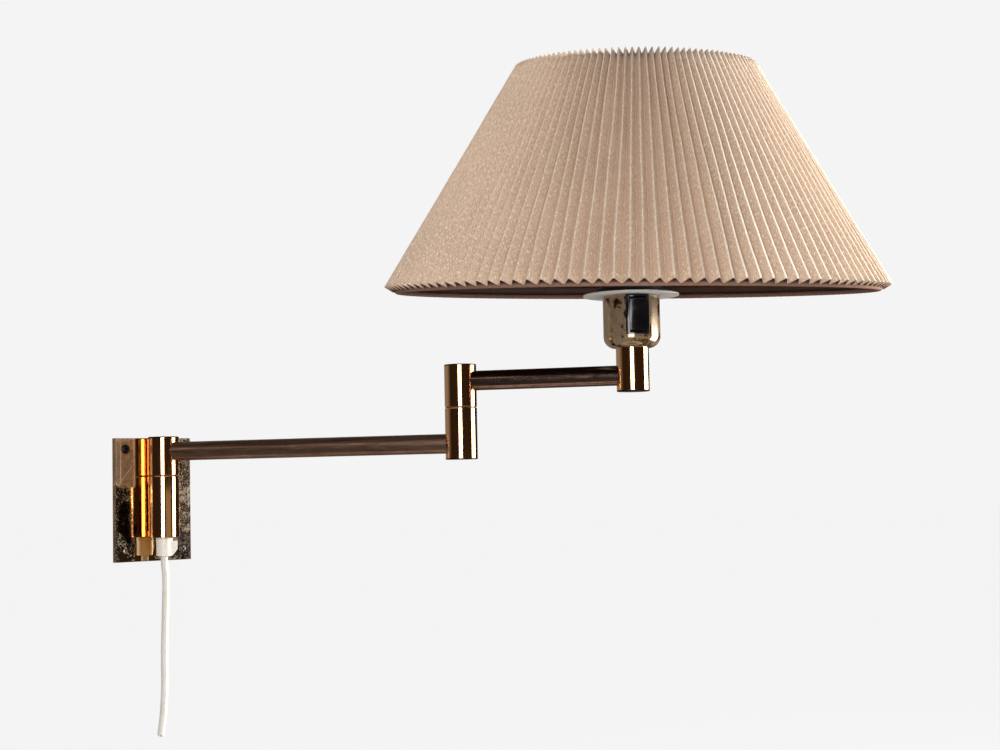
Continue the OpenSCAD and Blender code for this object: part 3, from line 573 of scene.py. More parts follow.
def corroded_plate(name, tint):
    """Polished plate under fine corrosion grains, wiped clean behind the barrel, with the elbow
    barrel's reflection painted into the upper left corner.
    """
    material, tree, sockets, place = new_material(name)
    parts = parts_of(tree, place)
    lines = use(tree, HAIRLINES, Place=place, Stretch=(700, 700, 60), Amount=0.7)
    edges = use(tree, WORN_EDGES, Place=place, Width=0.0005)["Edges"]
    grain = noise_of(tree, stretched(tree, place, (760, 760, 760)), 1.0, 2, 0.6)
    cloud = noise_of(tree, place, 90.0, 3, 0.5, 0.4)
    # Fewer grains in the wiped strip and in the upper left corner, where the elbow barrel's
    # reflection is painted
    off = maths(tree, "ABSOLUTE", minus(tree, parts["X"], WIPED_MIDDLE))
    off = plus(tree, off, times(tree, minus(tree, cloud, 0.5), 0.006))
    open_side = top_of(tree, ramp(tree, off, WIPED_HALF, WIPED_HALF + 0.003),
                       ramp(tree, parts["Y"], -0.004, -0.002))
    corner = times(tree, ramp(tree, parts["X"], -0.017, -0.021),
                   ramp(tree, plus(tree, parts["Z"],
                                   times(tree, cloud, 0.012)), 0.015, 0.021))
    right = ramp(tree, parts["X"], 0.008, 0.014)
    crowd = plus(tree, times(tree, cloud, 0.55), times(tree, right, 0.07))
    crowd = minus(tree, crowd, times(tree, corner, 0.1))
    crowd = plus(tree, grain, crowd)
    specks = times(tree, ramp(tree, crowd, 0.83, 0.93), open_side)
    # Two nearly black patches, low at the left and at the lower right corner
    black = top_of(tree, patch(tree, place, cloud, (-0.0275, -0.020), (0.0075, 0.019)),
                   patch(tree, place, cloud, (0.032, -0.041), (0.013, 0.014)))
    specks = times(tree, specks, minus(tree, 1.0, times(tree, black, 0.75)))
    film = times(tree, ramp(tree, crowd, 0.60, 0.85), open_side)
    warmth = noise_of(tree, place, 160.0, 2)
    speck_tint = blend_of(tree, ramp(tree, warmth, 0.4, 0.6), (0.20, 0.155, 0.095),
                          (0.12, 0.075, 0.045))
    base = blend_of(tree, times(tree, lines["Lines"], 0.2), tint, [c * 0.6 for c in tint])
    base = blend_of(tree, film, base, (0.055, 0.038, 0.028))
    base = layer(tree, base, black, 0.85, (0.016, 0.009, 0.011))
    # Painted reflection: the mirrored elbow barrel as a warm dull patch in the upper left corner
    base = layer(tree, base, corner, 0.85, (0.12, 0.055, 0.025))
    base = blend_of(tree, specks, base, speck_tint)
    # Painted reflection: pale streaks for the highlight band of the mirrored elbow barrel and for
    # its arm
    painted_streaks = painted_streak(tree, parts, (-0.0328, 0.013), (-0.0322, 0.051), 0.0008)
    painted_streaks = top_of(tree, painted_streaks, painted_streak(tree, parts, (-0.0322, 0.016), (-0.0205, 0.030), 0.0006))
    painted_streaks = times(tree, painted_streaks, ramp(tree, grain, 0.35, 0.6, 0.15, 0.6))
    base = blend_of(tree, painted_streaks, base, (0.70, 0.42, 0.23))
    base = layer(tree, base, edges, 0.3, (0.80, 0.60, 0.38))
    dull = times(tree, top_of(tree, times(tree, specks, 0.9), times(tree, corner, 0.8)), 0.95)
    tree.links.new(minus(tree, 1.0, dull), sockets["Metallic"])
    gloss = plus(tree, 0.05, times(tree, dull, 0.4))
    gloss = plus(tree, gloss, times(tree, film, 0.04))
    finish(tree, sockets, base, gloss, specks, 0.10, 0.00003)
    return material


def bright_metal(name, tint, rough=0.28, spots=(0.2, 0.16, 0.12)):
    """Plated steel or cast zinc with a few dull spots."""
    material, tree, sockets, place = new_material(name, metal=1.0)
    tarnish = use(tree, TARNISH, Place=place, Scale=180.0, Cover=0.35, Edge=0.1)
    edges = use(tree, WORN_EDGES, Place=place, Width=0.0003)["Edges"]
    base = blend_of(tree, times(tree, tarnish["Patches"], 0.6), tint, spots)
    base = layer(tree, base, edges, 0.5, (0.8, 0.78, 0.75))
    gloss = plus(tree, rough, times(tree, tarnish["Speckle"], 0.15))
    finish(tree, sockets, base, gloss, tarnish["Speckle"], 0.1, 0.00002)
    return material


def moulded(name, tint, worn_tint, rough=0.35, grain=900.0, relief=0.12, dust=0.25, **constants):
    """Moulded plastic, rubber or enamel with flow marks, rubbed edges and dust."""
    material, tree, sockets, place = new_material(name, **constants)
    skin = use(tree, MOULDED_SKIN, Place=place, Scale=grain)
    edges = use(tree, WORN_EDGES, Place=place, Width=0.0004)["Edges"]
    settled = use(tree, SETTLED_DUST, Place=place, Amount=dust)["Dust"]
    base = blend_of(tree, times(tree, skin["Marks"], 0.4), tint, worn_tint)
    base = layer(tree, base, edges, 0.5, worn_tint)
    base = blend_of(tree, settled, base, (0.42, 0.38, 0.34))
    gloss = plus(tree, rough, times(tree, skin["Marks"], 0.12))
    gloss = plus(tree, gloss, times(tree, settled, 0.4))
    finish(tree, sockets, base, gloss, skin["Height"], relief, 0.00004)
    return material


def pleated_cloth(name, tint, light, dark, ridge_wear_and_highlight_tint, valley_shade_tint, slubs=0.6, **constants):
    """Slubby cloth on the fold map: paler on the ridges, where they rub and, on the window side,
    as a painted highlight; browner down in the valleys as painted shade.
    """
    material, tree, sockets, place = new_material(name, rough=0.85, **constants)
    weave_map = add(tree, "ShaderNodeUVMap", uv_map="weave").outputs["UV"]
    weave = use(tree, PLAIN_WEAVE, Map=weave_map, Pitch=0.0007, Slubs=slubs)
    fold = add(tree, "ShaderNodeAttribute", attribute_name="fold").outputs["Fac"]
    base = blend_of(tree, ramp(tree, weave["Cloud"], 0.3, 0.7), [c * 0.88 for c in tint], tint)
    base = layer(tree, base, weave["Dark Thread"], 0.6, dark)
    base = layer(tree, base, weave["Light Thread"], 0.85, light)
    # Painted shade: the valleys are blended towards a browner tint
    base = blend_of(tree, ramp(tree, fold, 0.40, 0.05, 0.0, 0.6), base, valley_shade_tint)
    # Painted highlight: the ridges on the side that faces the window are painted pale, over a
    # faint rubbed paleness from the light threads all round
    spoke = vectors(tree, "SUBTRACT", place, HOLDER)
    spoke = vectors(tree, "NORMALIZE", vectors(tree, "MULTIPLY", spoke, (1, 1, 0)))
    window_facing = vectors(tree, "DOT_PRODUCT", spoke, LIT_RIDGE_SIDE, out="Value")
    rubbed = plus(tree, times(tree, weave["Light Thread"], 0.2),
                  ramp(tree, window_facing, -0.28, -0.08, 0.04, 0.8))
    base = blend_of(tree, times(tree, ramp(tree, fold, 0.80, 0.862), rubbed), base, ridge_wear_and_highlight_tint)
    finish(tree, sockets, base, None, weave["Height"], 0.35, 0.00018)
    return material


def bound_tape(name, tint, dark):
    """Thin woven tape wound round a hoop."""
    material, tree, sockets, place = new_material(name, rough=0.9, Specular_IOR_Level=0.15)
    weave = use(tree, PLAIN_WEAVE, Map=place, Pitch=0.0005, Slubs=0.3)
    patches = use(tree, TARNISH, Place=place, Scale=30.0, Cover=0.4, Edge=0.2)["Patches"]
    base = blend_of(tree, times(tree, weave["Dark Thread"], 0.5), tint, dark)
    base = layer(tree, base, patches, 0.4, dark)
    finish(tree, sockets, base, None, weave["Height"], 0.4, 0.0001)
    return material


BRASS = polished_brass("barrel_brass_finish", (0.84, 0.50, 0.25), (0.40, 0.20, 0.09),
                       painted_dark_ends=DARK_PAINTED_BARREL_ENDS)
PLATE = corroded_plate("plate_brass_finish", (0.80, 0.53, 0.27))
CUP = polished_brass("cup_brass_finish", (0.74, 0.50, 0.29), (0.34, 0.23, 0.14), cover=0.5,
                     rough=0.06, stretch=(120, 120, 1400), dull=0.05, scale=110.0,
                     grime=(0.54, (0.27, 0.195, 0.125), 0.08))
CONTACT = polished_brass("contact_brass_finish", (0.85, 0.62, 0.32), (0.45, 0.28, 0.12), rough=0.2)
LONG_TUBE = aged_tube("long_tube_finish", (0.40, 0.25, 0.18), 0.30, (0.62, 0.42, 0.30),
                      (0.11, 0.06, 0.045))
SHORT_TUBE = aged_tube("short_tube_finish", (0.27, 0.17, 0.14), 0.13, (0.50, 0.35, 0.28),
                       (0.06, 0.035, 0.03), streaky=0.3)
ZINC = bright_metal("zinc_steel_finish", (0.62, 0.61, 0.59))
WIRE = bright_metal("carrier_wire_finish", (0.55, 0.54, 0.52), rough=0.35)
SCREW_BRIGHT = bright_metal("bright_screw_finish", (0.46, 0.42, 0.37), rough=0.42)
SCREW_DARK = bright_metal("dark_screw_finish", (0.04, 0.03, 0.025), rough=0.35,
                          spots=(0.02, 0.015, 0.012))
COPPER = bright_metal("copper_strand_finish", (0.80, 0.38, 0.22), rough=0.3)
SEAM = moulded("seam_nylon_finish", (0.030, 0.016, 0.010), (0.06, 0.035, 0.02), rough=0.5,
               dust=0.0)
WHITE_PLASTIC = moulded("white_plastic_finish", (0.66, 0.62, 0.56), (0.58, 0.52, 0.44), rough=0.3,
                        dust=0.15)
SHEATH = moulded("cord_sheath_finish", (0.60, 0.575, 0.53), (0.50, 0.46, 0.39), rough=0.42,
                 grain=600.0)
BLACK_PLASTIC = moulded("black_plastic_finish", (0.006, 0.005, 0.008), (0.02, 0.018, 0.022),
                        rough=0.13, relief=0.05, dust=0.03)
BAKELITE = moulded("black_bakelite_finish", (0.010, 0.009, 0.009), (0.04, 0.034, 0.03),
                   rough=0.35, dust=0.15)
ENAMEL = moulded("white_enamel_finish", (0.84, 0.82, 0.80), (0.72, 0.69, 0.64), rough=0.4,
                 grain=300.0, relief=0.2)
CORE_BROWN = moulded("brown_core_finish", (0.10, 0.04, 0.02), (0.16, 0.08, 0.05))
CORE_BLUE = moulded("blue_core_finish", (0.03, 0.10, 0.32), (0.08, 0.16, 0.40))
SHADE_CLOTH = pleated_cloth("shade_fabric_finish", (0.49, 0.345, 0.245), (0.84, 0.66, 0.49),
                            (0.33, 0.215, 0.145), (1.0, 0.92, 0.79), (0.38, 0.245, 0.16),
                            Sheen_Weight=0.1, Sheen_Roughness=0.5)
# Painted shade: the lining is coloured far darker than the cloth, standing in for the shade inside
# the shade
SHADED_LINING = pleated_cloth("shaded_lining_finish", (0.11, 0.055, 0.04), (0.16, 0.085, 0.06),
                             (0.07, 0.033, 0.025), (0.13, 0.065, 0.05), (0.10, 0.05, 0.038),
                             slubs=0.3, Specular_IOR_Level=0.1)
TAPE = bound_tape("shade_tape_finish", (0.25, 0.135, 0.095), (0.13, 0.07, 0.05))
# Painted shade: the rim band is coloured much darker than the hoop tape, as the shade inside the
# lower rim
SHADED_RIM_BAND = bound_tape("shaded_rim_band_finish", (0.085, 0.045, 0.033), (0.045, 0.022, 0.017))

FINISHES = {
    "plate_brass": PLATE, "barrel_brass": BRASS, "tube_brass": LONG_TUBE, "cup_brass": CUP,
    "contact_brass": CONTACT, "zinc_steel": ZINC, "seam_nylon": SEAM,
    "white_plastic": WHITE_PLASTIC, "cord_sheath": SHEATH, "black_plastic": BLACK_PLASTIC,
    "black_bakelite": BAKELITE, "white_enamel": ENAMEL, "carrier_wire": WIRE,
    "shade_fabric": SHADE_CLOTH, "shade_tape": TAPE
}


def dress(piece, *materials):
    piece.data.materials.clear()
    for material in materials:
        piece.data.materials.append(material)


for part in frame["record"]["subparts"]:
    node = nodes[part["node"]]
    for place in node.material_slots:
        place.material = FINISHES[part["material_slot"]]

dress(nodes["short_arm_tube"], SHORT_TUBE)
dress(cord, SHEATH)


# ---- Cut end of the cord ----

def cut_cord_end():
    """Two insulated cores with copper strands, a hair proud of the cut sheath."""
    last, before = cord_points()[-1], cord_points()[-2]
    way = (last - before).normalized()
    aim = way.to_track_quat("Z", "Y").to_matrix().to_4x4()
    made = []
    for name, side, finish in (("brown_core", -1, CORE_BROWN), ("blue_core", 1, CORE_BLUE)):
        bm = turned([(0, -0.004), (0.00105, -0.004)] + arc(0.00090, 0.00035, 0.00015, 0, 90, 3)
                    + [(0.0006, 0.0005), (0.0006, 0.0002), (0, 0.0002)], 32, closed=False)
        place = Matrix.Translation(last) @ aim @ Matrix.Translation((side * 0.0012, 0, 0))
        core = keep(name, bm, "wall", turn=place)
        dress(core, finish)
        strands = bmesh.new()
        rng = random.Random(5 + side)
        for i in range(7):
            r = 0 if i == 0 else 0.00036
            a = i * math.tau / 6
            spot = Matrix.Translation((r * math.cos(a), r * math.sin(a),
                                       0.0003 + rng.uniform(0, 0.0002)))
            bmesh.ops.create_cone(strands, cap_ends=True, segments=10, radius1=0.00017,
                                  radius2=0.00015, depth=0.001, matrix=spot)
        copper = keep(name + "_strands", strands, "wall", turn=place)
        dress(copper, COPPER)
        made += [core, copper]
    return made


cord_ends = cut_cord_end()


# ---- Wall plate, screws and holder ----

def wall_screw(name, x, z, turn, finish):
    """Cross-head wall screw whose head sits on the plate."""
    head, shank, lift = 0.00385, 0.0019, 0.0021
    dome = [(head * 0.62 * i / 5, lift - 0.00008 * i * i / 5) for i in range(6)]
    rim = arc(head - 0.0006, 0.0009, 0.0006, 55, 0, 5)
    bm = turned(dome + rim + [(head, 0.0), (shank, 0.0), (shank, -0.0055), (0, -0.0055)], 64,
                closed=False)
    out = Matrix.Translation((x, -PLATE_T, z)) @ Matrix.Rotation(math.radians(90), 4, "X")
    out = out @ Matrix.Rotation(math.radians(turn), 4, "Z")
    crease(bm)
    screw = keep(name, bm, "wall", turn=out)
    for angle in (0, 90):
        blade = bmesh.new()
        bmesh.ops.create_cube(blade, size=1)
        bmesh.ops.scale(blade, vec=(0.0056, 0.0016, 0.0036), verts=blade.verts)
        low = [v for v in blade.verts if v.co.z < 0]
        bmesh.ops.scale(blade, vec=(0.45, 0.7, 1), verts=low)
        blade.transform(out @ Matrix.Translation((0, 0, lift))
                        @ Matrix.Rotation(math.radians(angle), 4, "Z"))
        cut(screw, blade)
    dress(screw, finish, SCREW_DARK)
    # Painted shade: the faces down in the cross recess take the dark finish
    for face in screw.data.polygons:
        deep = -PLATE_T - face.center.y
        aside = math.hypot(face.center.x - x, face.center.z - z)
        face.material_index = int(0.0001 < deep < lift - 0.0004 and aside < head * 0.78)


wall_screw("screw_top_left", *SCREW_TOP_LEFT, 20, SCREW_DARK)
wall_screw("screw_bottom_right", *SCREW_BOTTOM_RIGHT, 38, SCREW_BRIGHT)


def spin_cup():
    """Spun brass cup with a smooth shoulder, a rolled lip and the switch's slot."""
    r, wall, shoulder = 0.0225, 0.0008, 0.009
    outer = arc(r - shoulder, CUP_FLOOR + shoulder, shoulder, -90, 0, 20)
    inner = arc(r - shoulder, CUP_FLOOR + shoulder, shoulder - wall, 0, -90, 20)
    outline = ([(0.0051, CUP_FLOOR)] + outer + [(r, CUP_TOP - 0.0003), (r - 0.0003, CUP_TOP),
               (r - wall, CUP_TOP)] + inner + [(0.0051, CUP_FLOOR + wall)])
    bm = turned(outline, 160)
    crease(bm)
    place = Matrix.Translation(HOLDER) @ Matrix.Rotation(SHORT_ARM_TURN, 4, "Z")
    cup = keep("cup_shell", bm, "short_arm", turn=place)
    slot = bmesh.new()
    side = Matrix.Rotation(math.radians(-66), 4, "Z")
    high = CUP_TOP + 0.01
    middle = Matrix.Translation((0.012 + r / 2, 0, (SLOT_FOOT + high) / 2))
    bmesh.ops.create_cube(slot, size=1)
    bmesh.ops.scale(slot, vec=(r, SLOT_WIDTH, high - SLOT_FOOT), verts=slot.verts)
    slot.transform(place @ side @ middle)
    cut(cup, slot)
    dress(cup, CUP)
    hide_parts("socket_cup")
    return cup


spin_cup()


def rolled_shell():
    """Screw shell rolled from thin sheet, with the round thread of a lamp cap."""
    low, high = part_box("screw_shell")
    pitch, wave, sheet = 0.0035, 0.00016, 0.00012
    bm = bmesh.new()
    bmesh.ops.create_cone(bm, cap_ends=False, segments=96, radius1=0.0134, radius2=0.0134,
                          depth=high.z - low.z)
    rings = [e for e in bm.edges if abs(e.verts[0].co.z - e.verts[1].co.z) > 1e-4]
    bmesh.ops.subdivide_edges(bm, edges=rings, cuts=50, use_grid_fill=True)
    for v in bm.verts:
        angle = math.atan2(v.co.y, v.co.x)
        r = 0.01346 + wave * math.sin(math.tau * v.co.z / pitch - angle)
        v.co.x, v.co.y = r * math.cos(angle), r * math.sin(angle)
    bmesh.ops.recalc_face_normals(bm, faces=bm.faces)
    middle = Matrix.Translation((HOLDER.x, HOLDER.y, (low.z + high.z) / 2))
    shell = keep("rolled_screw_shell", bm, "short_arm", turn=middle)
    wall = shell.modifiers.new("sheet", "SOLIDIFY")
    wall.thickness = sheet
    wall.offset = 0
    dress(shell, CONTACT)
    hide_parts("screw_shell")


rolled_shell()

for node, body, slot, width in (
        ("gland_body", "wall", "white_plastic", 0.0005),
        ("switch_housing", "short_arm", "black_plastic", 0.0004),
        ("switch_rocker", "rocker", "black_plastic", 0.0003),
        ("white_disc", "short_arm", "white_enamel", 0.0004),
        ("lower_shade_ring", "short_arm", "black_bakelite", 0.0003),
        ("upper_shade_ring", "short_arm", "black_bakelite", 0.0003)):
    dress(softened(node, body, width), FINISHES[slot])


# ---- Shade ----

SHADE_PLACE = (Matrix.Translation(HOLDER) @ Matrix.Rotation(SHORT_ARM_TURN, 4, "Z")
               @ Matrix.Translation((0.004, 0, CUP_TOP))
               @ Matrix.Rotation(math.radians(-64.5), 4, "Z")
               @ Matrix.Rotation(math.radians(4.6), 4, "Y")
               @ Matrix.Rotation(math.radians(64.5), 4, "Z"))
SLOPE = math.atan2(SHADE_LOW[0] - SHADE_HIGH[0], SHADE_HIGH[1] - SHADE_LOW[1])
OUTWARD = Vector((math.cos(SLOPE), math.sin(SLOPE)))
UPWARD = Vector((-math.sin(SLOPE), math.cos(SLOPE)))
SLANT = (Vector(SHADE_HIGH) - Vector(SHADE_LOW)).length
HOOP_IN = 0.00215


def fold_depth(r):
    return math.sqrt(FOLD_FACE ** 2 - (math.pi * r / FOLDS) ** 2)


def skin_depth(r):
    return CLOTH * FOLD_FACE * FOLDS / (math.pi * r)


def rounded_fold(share, crown=0.26, root=0.10):
    """Height of the fold, 1 on the ridge and 0 in the valley, for a share of the way between."""
    if share < crown:
        return 1 - (share ** 2 + crown ** 2) / (2 * crown)
    if share > 1 - root:
        left = 1 - share
        return (left ** 2 + root ** 2) / (2 * root)
    return 1 - share


STEPS_ON_FACE = (0, 0.07, 0.15, 0.25, 0.5, 0.9)


def pleat_cloth():
    """The folded cone: one ring of folds, drawn up the slope row by row."""
    rows = 26
    shares = list(STEPS_ON_FACE) + [1] + [s for s in reversed(STEPS_ON_FACE[1:])]
    count = FOLDS * len(shares)
    bm = bmesh.new()
    column_of = bm.verts.layers.int.new("column")
    row_of = bm.verts.layers.int.new("row")
    fold = bm.verts.layers.float.new("fold")
    weave = bm.loops.layers.uv.new("weave")
    row = bmesh.ops.create_circle(bm, segments=count, radius=1)["verts"]
    row.sort(key=lambda v: math.atan2(v.co.y, v.co.x) % math.tau)
    low, high = Vector(SHADE_LOW), Vector(SHADE_HIGH)
    rng = random.Random(11)
    seeds = [(rng.uniform(0, 50), rng.uniform(-1, 1), rng.uniform(-1, 1)) for _ in range(FOLDS)]

    def wander(pleat, up):
        """How far a ridge strays sideways, in radians, and inward, in metres."""
        shift, lean, deep = seeds[pleat % FOLDS]
        sway = noise.noise(Vector((shift, up * 2.2, 0)))
        ripple = noise.noise(Vector((shift, up * 9.0, 4)))
        calm = min(1, 6 * up + 0.25) * min(1, 6 * (1 - up) + 0.25)
        turn = math.tau / FOLDS * calm * (0.16 * sway + 0.035 * ripple + 0.05 * lean)
        return turn, 0.0006 * calm * (0.6 * deep + noise.noise(Vector((shift, up * 4, 9))))

    def set_row(row, level):
        up = level / rows
        at = low.lerp(high, up)
        depth = fold_depth(at.x)
        for k, v in enumerate(row):
            pleat, step = divmod(k, len(shares))
            share = shares[step]
            after = step > len(STEPS_ON_FACE)
            # Between two ridges, so each face follows the ridge that it hangs on
            turn_a, in_a = wander(pleat, up)
            turn_b, in_b = wander(pleat + 1, up)
            way = share / 2 if not after else 1 - share / 2
            smooth = way * way * (3 - 2 * way)
            turn = turn_a + (turn_b - turn_a) * smooth
            inward = in_a + (in_b - in_a) * smooth
            angle = math.tau * (pleat + way) / FOLDS + turn
            height = rounded_fold(share)
            swell = noise.noise(Vector((k * 0.31, up * 5, 2)))
            bulge = 0.00025 * math.sin(math.pi * share) * swell
            p = at - OUTWARD * ((1 - height) * depth + max(0, inward) + bulge + 0.00002)
            v.co = (p.x * math.cos(angle), p.x * math.sin(angle), p.y)
            v[column_of], v[row_of], v[fold] = k, level, height

    set_row(row, 0)
    edges = list(bm.edges)
    for level in range(1, rows + 1):
        grown = bmesh.ops.extrude_edge_only(bm, edges=edges)["geom"]
        fresh = {g for g in grown if isinstance(g, bmesh.types.BMVert)}
        edges = [g for g in grown if isinstance(g, bmesh.types.BMEdge)
                 and g.verts[0] in fresh and g.verts[1] in fresh]
        row = [next(e.other_vert(v) for e in v.link_edges if e.other_vert(v) in fresh)
               for v in row]
        set_row(row, level)
    bm.normal_update()
    inward = sum(f.normal.dot(f.calc_center_median()) * f.calc_area() for f in bm.faces) < 0
    if inward:
        bmesh.ops.reverse_faces(bm, faces=bm.faces)
    across = []
    run = 0.0
    for k in range(count + 1):
        across.append(run)
        step = k % len(shares)
        a = shares[step]
        b = shares[(step + 1) % len(shares)] if step + 1 < len(shares) else 0
        run += abs(b - a) * FOLD_FACE
    for face in bm.faces:
        columns = [loop.vert[column_of] for loop in face.loops]
        wraps = max(columns) - min(columns) > 2
        for loop, column in zip(face.loops, columns):
            k = count if wraps and column == 0 else column
            loop[weave].uv = (across[k], SLANT * loop.vert[row_of] / rows)
    shade = keep("pleated_shade_cloth", bm, "short_arm", turn=SHADE_PLACE)
    sheet = shade.modifiers.new("sheet", "SOLIDIFY")
    sheet.thickness = CLOTH
    sheet.offset = -1
    sheet.material_offset = 1
    sheet.use_quality_normals = False
    dress(shade, SHADE_CLOTH, SHADED_LINING)
    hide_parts("pleated_shade")
    return shade


def bound_hoop(name, node, at, wraps):
    """Tape wound round a hoop: a ring of round section whose turns overlap in low ridges."""
    steps, sides, radius = wraps * 6, 12, 0.00198
    bm = bmesh.new()
    start = bmesh.ops.create_circle(bm, segments=sides, radius=radius)["verts"]
    tip = Matrix.Translation((at.x, 0, at.y)) @ Matrix.Rotation(math.radians(90), 4, "X")
    bmesh.ops.transform(bm, matrix=tip, verts=start)
    bmesh.ops.spin(bm, geom=list(bm.verts) + list(bm.edges), axis=(0, 0, 1), cent=(0, 0, 0),
                   angle=math.tau, steps=steps, use_merge=True, use_duplicate=False)
    bmesh.ops.remove_doubles(bm, verts=bm.verts, dist=1e-7)
    for v in bm.verts:
        angle = math.atan2(v.co.y, v.co.x)
        middle = Vector((at.x * math.cos(angle), at.x * math.sin(angle), at.y))
        off = v.co - middle
        round_it = math.atan2(off.z, off.dot(Vector((math.cos(angle), math.sin(angle), 0))))
        phase = (angle / math.tau * wraps + round_it / math.tau) % 1.0
        v.co = middle + off * (0.93 + 0.07 * (1 - phase))
    bmesh.ops.recalc_face_normals(bm, faces=bm.faces)
    tape = keep(name, bm, "short_arm", turn=SHADE_PLACE)
    dress(tape, TAPE)
    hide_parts(node)
    return tape


def valley_inside(at):
    return Vector(at) - OUTWARD * (fold_depth(at[0]) + skin_depth(at[0]))


def stitched_band():
    """The flat tape glued inside the valleys above the lower hoop, coloured dark as painted shade.
    """
    thick, foot, top = 0.0003, 0.0032, 0.0105
    at = valley_inside(SHADE_LOW) - OUTWARD * 0.0001
    corners = [at + UPWARD * foot, at + UPWARD * top,
               at + UPWARD * top - OUTWARD * thick, at + UPWARD * foot - OUTWARD * thick]
    bm = turned([(c.x, c.y) for c in corners], steps=FOLDS * 2)
    band = keep("lower_rim_band", bm, "short_arm", turn=SHADE_PLACE)
    dress(band, SHADED_RIM_BAND)
    return band


shade = pleat_cloth()
lower_tape = bound_hoop("lower_bound_hoop", "lower_hoop_tape",
                        valley_inside(SHADE_LOW) + (UPWARD - OUTWARD) * HOOP_IN, 150)
upper_tape = bound_hoop("upper_bound_hoop", "upper_hoop_tape",
                        valley_inside(SHADE_HIGH) - (UPWARD + OUTWARD) * HOOP_IN, 72)
rim_band = stitched_band()


# ---- Studio ----

def bearing(degrees, height=0.0):
    """A direction from the lamp: 0 is straight out from the wall, positive to +X."""
    a = math.radians(degrees)
    return Vector((math.sin(a), -math.cos(a), height)).normalized()


def panel(name, middle, target, width, height, power, tint=(1, 1, 1)):
    """A rectangular light that faces a point and isn't seen itself."""
    light = bpy.data.lights.new(name, "AREA")
    light.shape = "RECTANGLE"
    light.size, light.size_y = width, height
    light.energy = power
    light.color = tint
    light.spread = math.pi
    lamp = linked(name, light)
    lamp.location = middle
    lamp.rotation_mode = "QUATERNION"
    lamp.rotation_quaternion = (Vector(middle) - Vector(target)).to_track_quat("Z", "Y")
    lamp.visible_camera = False
    return lamp


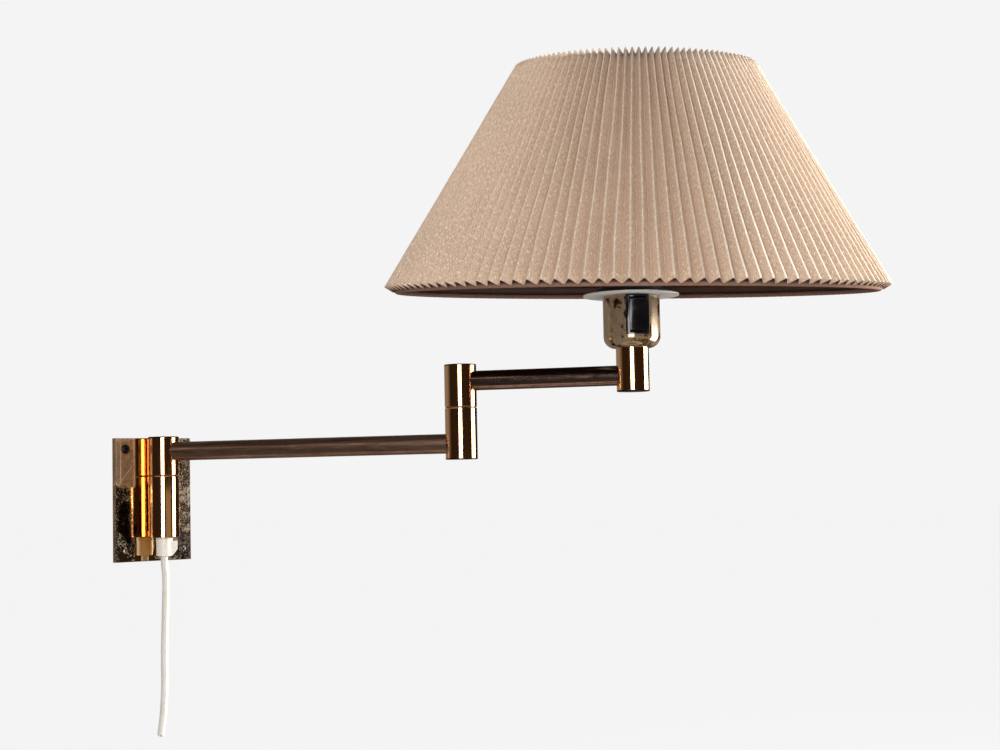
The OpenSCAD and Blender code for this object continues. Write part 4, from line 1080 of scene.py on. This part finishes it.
def light_studio():
    middle = Vector((0.12, -0.26, 0.12))
    wall = Vector((0, BARREL_Y, 0.02))
    key = wall + bearing(-40) * 2.3
    panel("front_panel", key + Vector((0, 0, 0.1)), wall + Vector((0, 0, 0.1)), 0.85, 1.6, 46)
    # Two panels that are only mirrored in the brass, and two windows that only light
    side = wall + bearing(49.5) * 1.0
    mirrored = panel("side_panel", side + Vector((0, 0, -0.055)), wall + Vector((0, 0, -0.055)),
                     0.47, 0.42, 5)
    low = wall + bearing(2) * 1.0
    warm = panel("low_panel", low + Vector((0, 0, -0.163)), wall + Vector((0, 0, -0.163)),
                 0.76, 0.3, 0.22, (1, 0.78, 0.55))
    mirrored.visible_diffuse = warm.visible_diffuse = False
    for name, degrees, power in (("window_near", 64, 90), ("window_far", 85, 90)):
        window = panel(name, middle + bearing(degrees, 0.12) * 2.2, middle, 0.3, 0.36, power,
                       (1, 0.96, 0.88))
        window.visible_glossy = False

    world = bpy.data.worlds.new("studio")
    bpy.context.scene.world = world
    world.use_nodes = True
    tree = world.node_tree
    backdrop = tree.nodes["Background"]
    backdrop.inputs["Color"].default_value = GROUND
    look = add(tree, "ShaderNodeTexCoord").outputs["Generated"]
    parts = parts_of(tree, look)
    wall_glow = ramp(tree, parts["Y"], 0.45, 0.95)
    low_glow = times(tree, ramp(tree, parts["Z"], -0.12, -0.7),
                     ramp(tree, parts["Z"], -0.985, -0.96))
    high_glow = ramp(tree, parts["Z"], 0.35, 0.9)
    room = blend_of(tree, wall_glow, (0.030, 0.018, 0.012), (0.30, 0.28, 0.26))
    room = blend_of(tree, times(tree, low_glow, 0.2), room, (0.50, 0.48, 0.45))
    room = blend_of(tree, times(tree, high_glow, 0.1), room, (0.40, 0.38, 0.36))
    # Narrow rings above and below that only level tubes and round bottoms mirror
    upper = times(tree, ramp(tree, parts["Z"], 0.30, 0.34), ramp(tree, parts["Z"], 0.46, 0.42))
    lower = times(tree, ramp(tree, parts["Z"], -0.90, -0.925),
                  ramp(tree, parts["Z"], -0.978, -0.968))
    room = blend_of(tree, upper, room, (1.0, 0.84, 0.72))
    room = blend_of(tree, lower, room, (1.0, 0.82, 0.68))
    mirrored = add(tree, "ShaderNodeBackground", {"Color": room})
    sky = blend_of(tree, ramp(tree, parts["Z"], -0.15, 0.5), (0.46, 0.44, 0.42),
                   (0.42, 0.43, 0.44))
    soft = add(tree, "ShaderNodeBackground", {"Color": sky})
    path = add(tree, "ShaderNodeLightPath").outputs
    lit = add(tree, "ShaderNodeMixShader", {0: path["Is Glossy Ray"], 1: soft.outputs[0],
                                            2: mirrored.outputs[0]})
    seen = add(tree, "ShaderNodeMixShader", {0: path["Is Camera Ray"], 1: lit.outputs[0],
                                             2: backdrop.outputs[0]})
    tree.links.new(seen.outputs[0], tree.nodes["World Output"].inputs["Surface"])
    bpy.context.scene.view_settings.view_transform = "Standard"
    bpy.context.scene.view_settings.look = "None"


def lay_floor():
    bm = bmesh.new()
    bmesh.ops.create_circle(bm, cap_ends=True, segments=96, radius=25)
    floor = linked("floor", mesh_of("floor", bm))
    floor.location = (0, 0, cad_low.z - 0.25)
    material, tree, sockets, place = new_material("floor_finish", rough=0.9)
    cloud = noise_of(tree, place, 1.5, 3)
    tree.links.new(blend_of(tree, cloud, (0.80, 0.80, 0.80), (0.86, 0.86, 0.86)),
                   sockets["Base Color"])
    pale = add(tree, "ShaderNodeEmission", {"Color": GROUND})
    seen = add(tree, "ShaderNodeLightPath").outputs["Is Camera Ray"]
    share = times(tree, seen, 0.99)
    both = add(tree, "ShaderNodeMixShader", {0: share, 1: tree.nodes["Principled BSDF"].outputs[0],
                                             2: pale.outputs[0]})
    # Clear from below, so that the lamp can be looked at from there
    under = add(tree, "ShaderNodeNewGeometry").outputs["Backfacing"]
    clear = add(tree, "ShaderNodeBsdfTransparent")
    sides = add(tree, "ShaderNodeMixShader", {0: under, 1: both.outputs[0], 2: clear.outputs[0]})
    tree.links.new(sides.outputs[0], tree.nodes["Material Output"].inputs["Surface"])
    dress(floor, material)
    floor.visible_glossy = floor.visible_diffuse = False


light_studio()
lay_floor()
